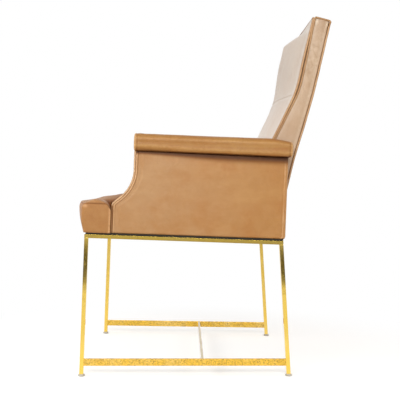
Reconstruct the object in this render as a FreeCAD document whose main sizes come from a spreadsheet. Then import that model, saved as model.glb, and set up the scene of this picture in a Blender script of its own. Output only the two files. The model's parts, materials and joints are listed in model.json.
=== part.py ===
import FreeCAD, Part
import math
import os
import re

import Sketcher
from FreeCAD import Placement, Rotation, Vector

# High back dining chair: a welded brass bar base under an upholstered seat, arms and back.
# X runs to the sitter's left, Y to the rear and Z up. The floor is Z = 0.
# Nothing on this chair moves: every piece is fixed.

# Driving dimensions, in millimetres and named shares

BASE_SIZES = {
    "foot_depth": 569, "front_foot_half": 294, "toe_in_depth": 19,
    "leg_bar": 11, "rail_bar": 10, "front_lean": 10, "rear_lean": 25,
    "rail_top_front": 387, "rail_top_rear": 373,
    "stretcher_bar": 19, "stretcher_thick": 8, "stretcher_height": 38,
    "cross_place_share": 0.58, "cross_thick": 6.5,
    "glide_diameter": 19, "glide_height": 6.5, "glide_edge": 1.2, "glide_neck": 11,
    "tab_length": 42, "tab_wide": 24, "tab_thick": 3, "tab_depth": 90,
    "screw_shank": 4, "screw_head": 8.5, "screw_head_thick": 2.6, "screw_length": 26,
}
SEAT_SIZES = {
    "cloth_thick": 1.5, "shadow_gap": 5, "skin": 10, "overhang": 6, "fit": 0.3,
    "frame_thick": 24, "frame_height": 58, "block_leg": 60, "strap_wide": 50, "strap_thick": 1.5,
    "seat_front": 2, "seat_back_gap": 7, "seam_height": 85, "border_bulge": 8, "seam_bow": 43,
    "mid_bow": 32, "low_bow": 24, "seat_crown": 36, "edge_crown": 5, "crest_depth": 200,
    "front_roll": 80, "seat_foam_height": 32, "seat_foam_margin": 44, "wing_gap": 7.8,
}
ARM_SIZES = {
    "arm_thick": 56, "arm_front": 79.5, "arm_hollow_depth": 59, "arm_overhang": 11, "arm_top": 231.5,
    "arm_curve_radius": 131, "arm_curve_height": 186, "arm_fillet": 10,
    "facing_thick": 6, "arm_post_deep": 38, "arm_rail_height": 26,
    "roll_wide": 82, "roll_high": 50, "roll_overhang": 12, "roll_front_overhang": 7,
    "roll_rear_overhang": 6, "roll_end": 5,
    "piping": 6,
}
BACK_SIZES = {
    "back_gap": 3.44, "boxing_thick": 6, "outside_thick": 5, "kink_height": 105,
    "back_lean": 114, "rear_top_height": 624, "cap_rise": 12, "top_thick": 55.7,
    "bend_thick": 48.9, "bend_share": 0.6455, "lumbar_thick": 79.5, "lumbar_share": 0.3487,
    "foot_thick": 100, "stile_wide": 28, "stile_deep": 30,
    "pad_crown": 42, "pad_edge_crown": 2, "pad_seam_share": 0.5934, "pad_seam_gap": 2,
    "back_rail_height": 42,
    "back_foam": 12, "back_foam_margin": 26, "piping_corner": 10, "piping_bend": 130,
    "second_welt_gap": 4.5, "second_welt": 4,
}
SIZES = {**BASE_SIZES, **SEAT_SIZES, **ARM_SIZES, **BACK_SIZES}

# Sizes that follow from others, as formulas on the sheet
RELATIONS = {
    "rear_foot_half": "front_foot_half - toe_in_depth",
    "arm_rear": "foot_depth - rear_lean + arm_overhang",
    "arm_post_front": "arm_front + arm_hollow_depth",
    "seat_rear": "arm_rear - foot_thick - seat_back_gap",
    "roll_outer": "front_foot_half + roll_overhang",
    "roll_rear": "arm_rear + roll_rear_overhang",
    "back_half": "front_foot_half - toe_in_depth * arm_rear / foot_depth - arm_thick + overhang - back_gap",
    "rear_top": "arm_rear + back_lean",
    "welt_top_height": "rear_top_height + cap_rise",
    "roll_front": "arm_post_front - roll_front_overhang",
    "pad_seam_height": "kink_height + pad_seam_share * (rear_top_height - kink_height)",
    "welt_bend_height": "kink_height + bend_share * (rear_top_height - kink_height)",
    "welt_lumbar_height": "kink_height + lumbar_share * (rear_top_height - kink_height)",
}

doc = FreeCAD.newDocument("HighBackDiningChair")
sheet = doc.addObject("Spreadsheet::Sheet", "Sizes")
formulas = {name: "=" + formula for name, formula in RELATIONS.items()}
for row, (name, content) in enumerate({**SIZES, **formulas}.items(), start=1):
    sheet.set("A%d" % row, name.replace("_", " "))
    sheet.set("B%d" % row, str(content))
    sheet.setAlias("B%d" % row, name)
doc.recompute()


class Reader:
    """Reads a size from the sheet by its alias."""

    def __getattr__(self, name):
        return float(sheet.get(name))


size = Reader()


def bound(text):
    """Turn plain alias words into an expression on the sheet."""

    def spell(word):
        known = word.group() in SIZES or word.group() in RELATIONS
        return "Sizes." + word.group() if known else word.group()

    return re.sub(r"[a-z]\w*", spell, text)


def worth(text):
    """The present value of such an expression."""
    return float(sheet.evalExpression(bound(text)))


# Shared relations, as expressions on the sheet

RAIL_SLOPE = "((rail_top_front - rail_top_rear) / (foot_depth - front_lean - rear_lean))"
TOE = "((front_foot_half - rear_foot_half) / foot_depth)"
BOX_SLOPE = "((rear_top - arm_rear) / (rear_top_height - kink_height))"
FRONT_LEG_RISE = "(rail_top_front - rail_bar - glide_height)"
REAR_LEG_RISE = "(rail_top_rear - rail_bar - glide_height)"

toe_angle = math.degrees(math.atan(worth(TOE)))
tilt_angle = math.degrees(math.atan(worth(RAIL_SLOPE)))
rake_angle = math.degrees(math.atan(worth(BOX_SLOPE)))
SIDES = (("left", 1), ("right", -1))
UPRIGHT = Vector(0, 0, 1)
ACROSS = Vector(1, 0, 0)

# The seat plane lies on top of the brass rails and leans back with them
seat_plane = Placement(Vector(0, 0, worth("rail_top_front + front_lean * " + RAIL_SLOPE)),
                       Rotation(ACROSS, -tilt_angle))
# The back plane starts at the kink of the outside back and follows its rake
back_plane = seat_plane.multiply(Placement(Vector(0, size.arm_rear, size.kink_height),
                                           Rotation(ACROSS, -rake_angle)))

pieces = []


def keep(piece, label, placement=None):
    """Label a finished sub-part, place it and list it for export."""
    piece.Label = label
    if placement is not None:
        piece.Placement = placement
    pieces.append(piece)
    return piece


def side_frame(side, inward=0.0, along=0.0, up=0.0):
    """Frame of a flat side piece: its X runs rearwards along the toed-in side, its Z up."""
    frame = Placement(Vector(side * size.front_foot_half, 0, 0), Rotation(UPRIGHT, 90 + side * toe_angle))
    return frame.multiply(Placement(Vector(along, side * inward, up), Rotation()))


def on_seat(side, inward=0.0, along=0.0, up=0.0):
    """The same frame, standing on the seat plane."""
    return seat_plane.multiply(side_frame(side, inward, along, up))


# Ways of making a sub-part

def arc_edge(start, end, radius, turn):
    """The arc from start to end, shorter than a half circle: anticlockwise where turn is 1."""
    chord = end - start
    middle = (start + end) * 0.5
    reach = math.sqrt(max(radius ** 2 - (chord.Length / 2) ** 2, 0))
    normal = Vector(-chord.y, chord.x, 0).normalize()
    centre = middle + normal * reach * turn
    angles = [math.atan2(point.y - centre.y, point.x - centre.x) for point in (start, end)[::turn]]
    return Part.ArcOfCircle(Part.Circle(centre, UPRIGHT, radius), *angles)


def draw_outline(body, corners, plane="XZ_Plane", arcs=()):
    """A closed sketch whose corners are pinned by expressions. arcs maps a run to radius and turn."""
    sketch = body.newObject("Sketcher::SketchObject", body.Name + "_outline")
    origin = [feature for feature in body.Origin.OriginFeatures if feature.Role == plane][0]
    sketch.AttachmentSupport = [(origin, "")]
    sketch.MapMode = "FlatFace"
    arcs = dict(arcs)
    points = [Vector(worth(across), worth(up), 0) for across, up in corners]
    ends = []
    for index, point in enumerate(points):
        following = points[(index + 1) % len(points)]
        if index in arcs:
            radius, turn = arcs[index]
            sketch.addGeometry(arc_edge(point, following, worth(radius), turn))
            ends.append((1, 2)[::turn])
        else:
            sketch.addGeometry(Part.LineSegment(point, following))
            ends.append((1, 2))
    for index in range(len(points)):
        after = (index + 1) % len(points)
        sketch.addConstraint(Sketcher.Constraint("Coincident", index, ends[index][1], after, ends[after][0]))
    for index, (point, texts) in enumerate(zip(points, corners)):
        for kind, number, text in (("DistanceX", point.x, texts[0]), ("DistanceY", point.y, texts[1])):
            pin = sketch.addConstraint(Sketcher.Constraint(kind, -1, 1, index, ends[index][0], number))
            sketch.setExpression("Constraints[%d]" % pin, bound(text))
    for index, (text, turn) in arcs.items():
        pin = sketch.addConstraint(Sketcher.Constraint("Radius", index, worth(text)))
        sketch.setExpression("Constraints[%d]" % pin, bound(text))
    return sketch


def sketched(label, corners, thickness, placement, plane="XZ_Plane", arcs=()):
    """A body padded from an outline: to both sides of an XZ outline, upwards from an XY one."""
    body = doc.addObject("PartDesign::Body", label)
    pad = body.newObject("PartDesign::Pad", label + "_pad")
    pad.Profile = draw_outline(body, corners, plane, arcs)
    pad.setExpression("Length", bound(thickness))
    pad.SideType = "Symmetric" if plane == "XZ_Plane" else "One side"
    body.Tip = pad
    return keep(body, label, placement)


def block(label, length, width, height, placement):
    """A plain box piece with its corner at its own origin."""
    piece = doc.addObject("Part::Box", label)
    piece.setExpression("Length", bound(length))
    piece.setExpression("Width", bound(width))
    piece.setExpression("Height", bound(height))
    return keep(piece, label, placement)


def shaped(label, shape, placement=seat_plane):
    """A piece whose shape is worked out with Part's own functions."""
    piece = doc.addObject("Part::Feature", label)
    piece.Shape = shape
    return keep(piece, label, placement)


def rounded_wire(points, radii):
    """Straight runs between the points, with a tangent arc of the given radius at each inner one."""
    runs = []
    cursor = points[0]
    for before, point, after, radius in zip(points, points[1:], points[2:], radii):
        back = (before - point).normalize()
        ahead = (after - point).normalize()
        half = back.getAngle(ahead) / 2
        start = point + back * (radius / math.tan(half))
        end = point + ahead * (radius / math.tan(half))
        middle = point + (back + ahead).normalize() * (radius / math.sin(half) - radius)
        runs.append(Part.makeLine(cursor, start))
        runs.append(Part.Arc(start, middle, end).toShape())
        cursor = end
    runs.append(Part.makeLine(cursor, points[-1]))
    return Part.Wire(runs)


def tube(path, diameter):
    """A round piping along a path of straight runs and tangent arcs."""
    start = path.OrderedEdges[0]
    profile = Part.Wire(Part.makeCircle(diameter / 2, start.valueAt(start.FirstParameter),
                                        start.tangentAt(start.FirstParameter)))
    return path.makePipeShell([profile], True, False)


def prism(points, run):
    """A straight prism on a closed outline."""
    return Part.Face(Part.makePolygon(list(points) + [points[0]])).extrude(run)


# Brass base

def leg_place(height, lean, rise):
    """How far a leaning leg has moved inwards at a height, as an expression."""
    return "(%s * (%s - glide_height) / %s)" % (lean, height, rise)


def side_bar_outlines():
    """Outlines of one side frame in its own plane: front leg, rear leg, rail and stretcher."""
    half = "leg_bar / 2"
    front_top = "front_lean"
    rear_top = "foot_depth - rear_lean"
    under_front = "rail_top_front - rail_bar"
    under_rear = "rail_top_rear - rail_bar"
    dip = half + " * " + RAIL_SLOPE
    low = "(stretcher_height - stretcher_bar / 2)"
    high = "(stretcher_height + stretcher_bar / 2)"
    front_face = [leg_place(level, "front_lean", FRONT_LEG_RISE) + " + " + half for level in (low, high)]
    rear_face = ["foot_depth - %s - %s" % (leg_place(level, "rear_lean", REAR_LEG_RISE), half)
                 for level in (low, high)]
    return {
        "front_leg": [("-" + half, "glide_height"), (half, "glide_height"),
                      (front_top + " + " + half, under_front + " - " + dip),
                      (front_top + " - " + half, under_front + " + " + dip)],
        "rear_leg": [("foot_depth - " + half, "glide_height"), ("foot_depth + " + half, "glide_height"),
                     (rear_top + " + " + half, under_rear + " - " + dip),
                     (rear_top + " - " + half, under_rear + " + " + dip)],
        "side_rail": [(front_top + " - " + half, under_front + " + " + dip),
                      (rear_top + " + " + half, under_rear + " - " + dip),
                      (rear_top + " + " + half, "rail_top_rear - " + dip),
                      (front_top + " - " + half, "rail_top_front + " + dip)],
        "side_stretcher": [(front_face[0], low), (rear_face[0], low), (rear_face[1], high),
                           (front_face[1], high)],
    }


def cross_piece(label, middle, deep, inset, high, bottom):
    """A bar from side to side, its ends cut to the toed-in side bars."""
    near = "(%s - %s / 2)" % (middle, deep)
    far = "(%s + %s / 2)" % (middle, deep)
    reach = "front_foot_half - %s * %s - %s / 2 * sqrt(1 + %s ^ 2)"
    near_half = reach % (near, TOE, inset, TOE)
    far_half = reach % (far, TOE, inset, TOE)
    corners = [("-(%s)" % near_half, near), (near_half, near), (far_half, far), ("-(%s)" % far_half, far)]
    sketched(label, corners, high, Placement(Vector(0, 0, worth(bottom)), Rotation()), "XY_Plane")


def glide(label, place):
    """A small round glide: a disc with a worn lower edge and a short neck."""
    body = doc.addObject("PartDesign::Body", label)
    rim = "glide_diameter / 2"
    neck = "glide_neck / 2"
    profile = [("0", "0"), (rim + " - glide_edge", "0"), (rim, "glide_edge"),
               (rim, "glide_height - 2 * glide_edge"), (neck, "glide_height"), ("0", "glide_height")]
    turned = body.newObject("PartDesign::Revolution", label + "_turned")
    sketch = draw_outline(body, profile)
    turned.Profile = sketch
    turned.ReferenceAxis = (sketch, ["V_Axis"])
    turned.Angle = 360
    body.Tip = turned
    keep(body, label, Placement(place, Rotation()))


def tab_places():
    """Where the mounting tabs sit along each side rail."""
    return (size.tab_depth, size.foot_depth - size.rear_lean - size.tab_depth)


def make_base():
    """Two toed-in side frames with their glides, and the bars that join them."""
    outlines = side_bar_outlines()
    thickness = {"side_stretcher": "stretcher_thick"}
    for name, side in SIDES:
        for bar, corners in outlines.items():
            words = bar.split("_")
            label = "%s_%s_%s" % (words[0], name, words[1])
            if words[0] == "side":
                label = "%s_%s" % (name, {"rail": "brass_rail", "stretcher": "stretcher"}[words[1]])
            sketched(label, corners, thickness.get(bar, "leg_bar"), side_frame(side))
        glide("front_%s_glide" % name, Vector(side * size.front_foot_half, 0, 0))
        glide("rear_%s_glide" % name, Vector(side * size.rear_foot_half, size.foot_depth, 0))
    dip = " - rail_bar - leg_bar / 2 * " + RAIL_SLOPE
    cross_piece("front_brass_rail", "front_lean", "leg_bar", "leg_bar", "rail_bar", "rail_top_front" + dip)
    cross_piece("rear_brass_rail", "(foot_depth - rear_lean)", "leg_bar", "leg_bar", "rail_bar",
                "rail_top_rear" + dip)
    cross_piece("cross_stretcher", "(foot_depth * cross_place_share)", "cross_thick", "stretcher_thick",
                "stretcher_bar", "stretcher_height - stretcher_bar / 2")


def screw_axes():
    """The screws' axes on the seat plane, each with its side."""
    inward = size.leg_bar / 2 + size.tab_wide / 2
    return [on_seat(side, inward, along) for _, side in SIDES for along in tab_places()]


def make_fixings():
    """Tabs welded inside the side rails, and the screws that hold the wooden frame on them."""
    tabs = []
    screws = []
    for axis in screw_axes():
        tab = Part.makeBox(size.tab_length, size.tab_wide, size.tab_thick,
                           Vector(-size.tab_length / 2, -size.tab_wide / 2, -size.tab_thick))
        hole = Part.makeCylinder(size.screw_shank / 2 + size.fit, size.tab_thick,
                                 Vector(0, 0, -size.tab_thick))
        tab = tab.cut(hole)
        tab.Placement = axis
        tabs.append(tab)
        under = -size.tab_thick - size.screw_head_thick
        head = Part.makeCylinder(size.screw_head / 2, size.screw_head_thick, Vector(0, 0, under))
        shank = Part.makeCylinder(size.screw_shank / 2, size.screw_length, Vector(0, 0, under))
        screw = head.fuse(shank).removeSplitter()
        screw.Placement = axis
        screws.append(screw)
    shaped("mounting_tabs", Part.makeCompound(tabs), Placement())
    shaped("frame_screws", Part.makeCompound(screws), Placement())


def screw_holes(clearance):
    """Cutters for the screws, standing on the seat plane's own coordinates."""
    back = seat_plane.inverse()
    cutters = []
    for axis in screw_axes():
        cutter = Part.makeCylinder(size.screw_shank / 2 + clearance, size.screw_length)
        cutter.Placement = back.multiply(axis)
        cutters.append(cutter)
    return cutters


# Wooden seat frame, webbing and dust cover

STRAPS_ALONG = 5
STRAPS_ACROSS = 4


def inner_side(along, inset):
    """Half width of the seat plane at a depth, inside a toed side face by an inset."""
    return size.front_foot_half - along * worth(TOE) - inset * math.sqrt(1 + worth(TOE) ** 2)


def trapezoid(front, rear, inset, bottom, high):
    """A flat block between the toed sides, from a front to a rear depth."""
    near = inner_side(front, inset)
    far = inner_side(rear, inset)
    outline = [Vector(-near, front, bottom), Vector(near, front, bottom), Vector(far, rear, bottom),
               Vector(-far, rear, bottom)]
    return prism(outline, Vector(0, 0, high))


def make_seat_frame():
    """Four wooden rails between the toed sides, drilled for the screws."""
    skin_face = size.skin - size.overhang
    bottom = size.cloth_thick
    inset = skin_face + size.fit
    inner = inset + size.frame_thick
    front = size.seat_front + size.skin
    rear = size.arm_rear - size.skin
    holes = screw_holes(0)
    start = front + inner * worth(TOE)
    for name, side in SIDES:
        rail = Part.makeBox(rear - start, size.frame_thick, size.frame_height,
                            Vector(start, -size.frame_thick / 2, bottom))
        rail.Placement = side_frame(side, inset + size.frame_thick / 2)
        shaped("seat_%s_rail" % name, rail.cut(Part.makeCompound(holes)))
    shaped("seat_front_rail", trapezoid(front, front + size.frame_thick, inner, bottom, size.frame_height))
    back = rear - size.arm_thick * worth(TOE)
    shaped("seat_rear_rail", trapezoid(back - size.frame_thick, back, inner, bottom, size.frame_height))
    make_corner_blocks(front + size.frame_thick, back - size.frame_thick, inner, bottom)
    cloth = trapezoid(size.seat_front + size.skin, rear, inset, 0, size.cloth_thick)
    shaped("dust_cover", cloth.cut(Part.makeCompound(screw_holes(size.fit))))
    make_seat_webbing(front, rear, inset, bottom + size.frame_height)


def make_corner_blocks(front, rear, inner, bottom):
    """Triangular blocks glued into the four inner corners of the wooden frame."""
    blocks = []
    slope = worth(TOE)
    for depth, turn in ((front, 1), (rear, -1)):
        for side in (1, -1):
            corner = Vector(side * inner_side(depth, inner), depth, bottom)
            leg = size.block_leg
            along = Vector(-side * slope * turn * leg, turn * leg, 0)
            outline = [corner, corner + Vector(-side * leg, 0, 0), corner + along]
            blocks.append(prism(outline, Vector(0, 0, size.frame_height)))
    shaped("corner_blocks", Part.makeCompound(blocks))


def stile_inner_face():
    """Half of the space between the two stiles of the back."""
    return size.back_half - size.boxing_thick - size.fit - size.stile_wide


def make_seat_webbing(front, rear, inset, level):
    """Straps from front to rear between the stiles, and straps from side to side lying on them."""
    straps = []
    run = rear - front
    pitch = 2 * (stile_inner_face() - size.fit - size.strap_wide / 2) / (STRAPS_ALONG - 1)
    for index in range(STRAPS_ALONG):
        middle = (index - (STRAPS_ALONG - 1) / 2) * pitch
        straps.append(Part.makeBox(size.strap_wide, run, size.strap_thick,
                                   Vector(middle - size.strap_wide / 2, front, level)))
    step = (size.seat_rear - size.arm_front) / STRAPS_ACROSS
    for index in range(STRAPS_ACROSS):
        depth = size.arm_front + (index + 0.5) * step - size.strap_wide / 2
        half = inner_side(depth + size.strap_wide, size.arm_thick - size.overhang)
        straps.append(Part.makeBox(2 * half, size.strap_wide, size.strap_thick,
                                   Vector(-half, depth, level + size.strap_thick)))
    shaped("seat_webbing", Part.makeCompound(straps))


# Seat cushion

SEAT_SECTION_SHARES = (-1, -0.8, -0.45, 0, 0.45, 0.8, 1)
CROWN_POWER_SHARE = 2.5
ROLL_RISE_SHARES = (0.42, 0.76)
ROLL_START_SHARE = 1 / 3
REAR_CROWN_SHARE = 0.6


def seat_section(across, crown_half):
    """One side view section of the cushion: bulged border, front roll and crowned top."""
    half = size.front_foot_half + size.overhang
    bow = 1 - min(abs(across) / half, 1) ** 2
    fall = 1 - min(abs(across) / crown_half, 1) ** CROWN_POWER_SHARE
    crown = size.edge_crown + size.seat_crown * fall
    middle = (size.shadow_gap + size.seam_height) / 2

    def at(depth, height):
        return Vector(across, depth, height)

    low = at(size.seat_front - size.low_bow * bow, size.shadow_gap)
    bulge = at(size.seat_front - size.border_bulge - size.mid_bow * bow, middle)
    seam_depth = size.seat_front - size.seam_bow * bow
    seam = at(seam_depth, size.seam_height)
    first, second = (size.seam_height + crown * share for share in ROLL_RISE_SHARES)
    rise = at(seam_depth + size.front_roll * ROLL_START_SHARE, first)
    shoulder = at(seam_depth + size.front_roll, second)
    crest = at(size.crest_depth, size.seam_height + crown)
    rear = at(size.seat_rear, size.seam_height + crown * REAR_CROWN_SHARE)
    foot = at(size.seat_rear, size.shadow_gap)
    return Part.Wire([Part.Arc(low, bulge, seam).toShape(), Part.Arc(seam, rise, shoulder).toShape(),
                      Part.Arc(shoulder, crest, rear).toShape(), Part.makeLine(rear, foot),
                      Part.makeLine(foot, low)])


def make_seat_cushion():
    """The seat cushion in one piece, cut free of the arms, the frame and its foam."""
    outer = size.front_foot_half + size.overhang
    arm_inner = inner_side(size.arm_front, size.arm_thick - size.overhang)
    cushion = Part.makeLoft([seat_section(share * arm_inner, arm_inner) for share in SEAT_SECTION_SHARES],
                            True, False)
    for side in (1, -1):
        wing = [seat_section(side * half, arm_inner) for half in (arm_inner, outer)]
        cushion = cushion.fuse(Part.makeLoft(wing, True, False))
    above = size.seam_height + size.seat_crown + size.skin
    wing_rear = size.arm_front - size.wing_gap
    outside = trapezoid(-2 * size.seam_bow, size.arm_rear, -size.overhang, 0, above)
    cushion = cushion.common(outside)
    between = trapezoid(wing_rear, size.arm_rear, size.arm_thick - size.overhang + size.fit, 0, above)
    notches = trapezoid(wing_rear, size.arm_rear, -2 * size.overhang, 0, above).cut(between)
    cushion = cushion.cut(notches)
    deck = size.cloth_thick + size.frame_height + 2 * size.strap_thick
    hollow = trapezoid(size.seat_front + size.skin - size.fit, size.arm_rear, size.skin - size.overhang,
                       0, deck)
    margin = size.seat_foam_margin
    foam_half = inner_side(size.seat_rear, size.arm_thick) - margin
    foam = Part.makeBox(2 * foam_half, size.seat_rear - 2 * margin, size.seat_foam_height,
                        Vector(-foam_half, margin, deck))
    shaped("seat_cover", cushion.cut(hollow).cut(foam).removeSplitter())
    shaped("seat_foam", foam)


# Arms

ARM_FILLET_DROP = ("sqrt((arm_curve_radius + arm_fillet) ^ 2 - "
                   "(arm_front + arm_fillet - arm_post_front + arm_curve_radius) ^ 2)")


def arm_front_outline(bottom):
    """The arm's front edge from the bottom up: straight, a small round, a long hollow curve, straight."""
    share = "(arm_curve_radius / (arm_curve_radius + arm_fillet))"
    reach = "(arm_front + arm_fillet - arm_post_front + arm_curve_radius)"
    round_end = ("arm_post_front - arm_curve_radius + %s * %s" % (share, reach),
                 "arm_curve_height - %s * %s" % (share, ARM_FILLET_DROP))
    return [("arm_front", bottom), ("arm_front", "arm_curve_height - " + ARM_FILLET_DROP), round_end,
            ("arm_post_front", "arm_curve_height"), ("arm_post_front", "arm_top")]


ARM_FRONT_ARCS = {1: ("arm_fillet", -1), 2: ("arm_curve_radius", 1)}


def make_arms():
    """Both arms: two skins, front and rear facings, pipings, wooden frame and roll."""
    deck = "cloth_thick + frame_height + 2 * strap_thick + fit"
    facing_arcs = {**ARM_FRONT_ARCS, 6: ("arm_curve_radius + facing_thick", -1),
                   7: ("arm_fillet - facing_thick", 1)}
    share = "((arm_curve_radius + facing_thick) / (arm_curve_radius + arm_fillet))"
    reach = "(arm_front + arm_fillet - arm_post_front + arm_curve_radius)"
    behind = [("arm_post_front + facing_thick", "arm_top"),
              ("arm_post_front + facing_thick", "arm_curve_height"),
              ("arm_post_front - arm_curve_radius + %s * %s" % (share, reach),
               "arm_curve_height - %s * %s" % (share, ARM_FILLET_DROP)),
              ("arm_front + facing_thick", "arm_curve_height - " + ARM_FILLET_DROP),
              ("arm_front + facing_thick", deck)]
    middle = size.arm_thick / 2 - size.overhang
    between = "arm_thick - 2 * skin - 2 * fit"
    piping = []
    for name, side in SIDES:
        for face, foot, inward in (("outer", "shadow_gap", size.skin / 2 - size.overhang),
                                   ("inner", deck, size.arm_thick - size.overhang - size.skin / 2)):
            outline = arm_front_outline(foot) + [("arm_rear", "arm_top"), ("arm_rear", foot)]
            sketched("%s_%s_panel" % (name, face), outline, "skin", on_seat(side, inward),
                     arcs=ARM_FRONT_ARCS)
            piping.append(arm_piping(side, inward, worth(foot)))
        sketched("%s_arm_facing" % name, arm_front_outline(deck) + behind, between,
                 on_seat(side, middle), arcs=facing_arcs)
        rear = [("arm_rear - skin + fit", "shadow_gap"), ("arm_rear - skin + fit", "arm_top"),
                ("arm_rear", "arm_top"), ("arm_rear", "shadow_gap")]
        sketched("%s_arm_rear_facing" % name, rear, between, on_seat(side, middle))
        make_arm_frame(name, side, middle, size.arm_thick - 2 * size.skin)
        make_arm_roll(name, side)
    shaped("arm_pipings", Part.makeCompound(piping))


def arm_piping(side, inward, foot):
    """A piping along one front edge of an arm, from its foot up to the roll."""
    gap = size.piping / 2 + size.fit
    front = size.arm_front - gap
    post = size.arm_post_front - gap
    centre = Vector(size.arm_post_front - size.arm_curve_radius, 0, size.arm_curve_height)
    turn_centre = Vector(size.arm_front + size.arm_fillet, 0,
                         size.arm_curve_height - worth(ARM_FILLET_DROP))
    radius = size.arm_curve_radius - gap
    apart = turn_centre - centre
    touch = centre + apart * (radius / apart.Length)
    start = Vector(front, 0, turn_centre.z)
    end = Vector(post, 0, centre.z)

    def through(middle, reach, first, last):
        bisector = ((first - middle).normalize() + (last - middle).normalize()).normalize()
        return Part.Arc(first, middle + bisector * reach, last).toShape()

    path = Part.Wire([Part.makeLine(Vector(front, 0, foot), start),
                      through(turn_centre, size.arm_fillet + gap, start, touch),
                      through(centre, radius, touch, end),
                      Part.makeLine(end, Vector(post, 0, size.arm_top - size.fit))])
    line = tube(path, size.piping)
    line.Placement = side_frame(side, inward)
    return line


def make_arm_frame(name, side, middle, hollow):
    """Wooden posts and top rail inside one arm, standing on the seat frame's side rail."""
    base = size.cloth_thick + size.frame_height
    rail_bottom = size.arm_top - size.arm_rail_height
    front = size.arm_post_front + size.facing_thick + size.fit
    rear = size.arm_rear - size.skin
    deep = "arm_post_deep"
    wide = "frame_thick"
    tall = "arm_top - arm_rail_height - cloth_thick - frame_height"
    inward = size.skin - size.overhang + size.fit
    near = inward if side > 0 else inward + size.frame_thick
    block("%s_arm_front_post" % name, deep, wide, tall, on_seat(side, near, front, base))
    block("%s_arm_rear_post" % name, deep, wide, tall, on_seat(side, near, rear - size.arm_post_deep, base))
    start = middle - side * (hollow / 2 - size.fit)
    block("%s_arm_top_rail" % name, "arm_rear - skin - arm_post_front - facing_thick - fit",
          "arm_thick - 2 * skin - 2 * fit", "arm_rail_height", on_seat(side, start, front, rail_bottom))


ROLL_END_SHARE = 0.88
ROLL_FOOT_SHARE = 0.55
ROLL_SIDE_SHARE = -0.1
ROLL_SHOULDER_SHARES = (0.62, 0.82)


def roll_section(depth, scale):
    """An oval cross section of the arm roll, flat underneath where it sits on the arm."""
    middle = Vector(size.roll_outer - size.roll_wide / 2, depth,
                    size.arm_top + size.fit + size.roll_high / 2)
    half = size.roll_wide / 2 * scale
    rise = size.roll_high / 2 * scale
    wide, high = ROLL_SHOULDER_SHARES

    def at(across, up):
        return middle + Vector(across * half, 0, up * rise)

    def side(sign):
        return Part.Arc(at(sign * ROLL_FOOT_SHARE, -1), at(sign, ROLL_SIDE_SHARE), at(sign * wide, high))

    top = Part.Arc(at(wide, high), at(0, 1), at(-wide, high)).toShape()
    floor = Part.makeLine(at(-ROLL_FOOT_SHARE, -1), at(ROLL_FOOT_SHARE, -1))
    return Part.Wire([floor, side(1).toShape(), top, side(-1).toShape()])


def make_arm_roll(name, side):
    """The padded roll on top of one arm, drawn in a little at both ends."""
    front = size.roll_front
    ends = ((front, ROLL_END_SHARE), (front + size.roll_end, 1), (size.roll_rear - size.roll_end, 1),
            (size.roll_rear, ROLL_END_SHARE))
    roll = Part.makeLoft([roll_section(depth, scale) for depth, scale in ends], True, True)
    if side < 0:
        roll = roll.mirror(Vector(0, 0, 0), ACROSS)
    shaped("%s_arm_roll" % name, roll)


# Back

def rear_line(height):
    """Depth of the outside back at a height on the seat plane."""
    return size.arm_rear + max(height - size.kink_height, 0) * worth(BOX_SLOPE)


def welt_line(height):
    """Depth of the pad's front welt at a height: the back is thick at its foot and thin at its bend."""
    stations = [(size.kink_height, size.foot_thick), (size.welt_lumbar_height, size.lumbar_thick),
                (size.welt_bend_height, size.bend_thick), (size.welt_top_height, size.top_thick)]
    for (low, below), (high, above) in zip(stations, stations[1:]):
        if height <= high or high == size.welt_top_height:
            return rear_line(height) - below - (height - low) / (high - low) * (above - below)


PAD_SECTION_SHARES = (-1, -0.85, -0.5, 0, 0.5, 0.85, 1)
PAD_CROWN_POWER_SHARE = 1.8
SHOULDER_CROWN_SHARE = 0.95
HEAD_CROWN_SHARE = 0.88
SEAM_CROWN_SHARE = 0.73
LUMBAR_CROWN_SHARE = 0.62
TUCK_CROWN_SHARE = 0.11
SHOULDER_DROP_SHARE = 0.2
TOP_ROUND_SHARES = (0.5, 0.1)
LUMBAR_SHARE = 0.62
BACK_STRAPS = 5


def pad_crown(share):
    """How far a pad stands out at a share of its half width."""
    return size.pad_crown * (1 - abs(share) ** PAD_CROWN_POWER_SHARE)


def level(thickness):
    """The level depth of a thickness that is measured square to the raked back."""
    return thickness / math.cos(math.radians(rake_angle))


def pad_support(height):
    """Front face of the wooden back and its webbing."""
    return rear_line(height) - level(size.outside_thick + size.stile_deep + size.strap_thick + 2 * size.fit)


def cap_corners():
    """Rear and front outer corners of the top boxing, in side view."""
    lip = size.piping + size.fit
    rear_height = size.rear_top_height - lip
    front_height = size.welt_top_height - lip
    return (Vector(0, rear_line(rear_height) - lip, rear_height),
            Vector(0, welt_line(front_height) + lip, front_height))


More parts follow.
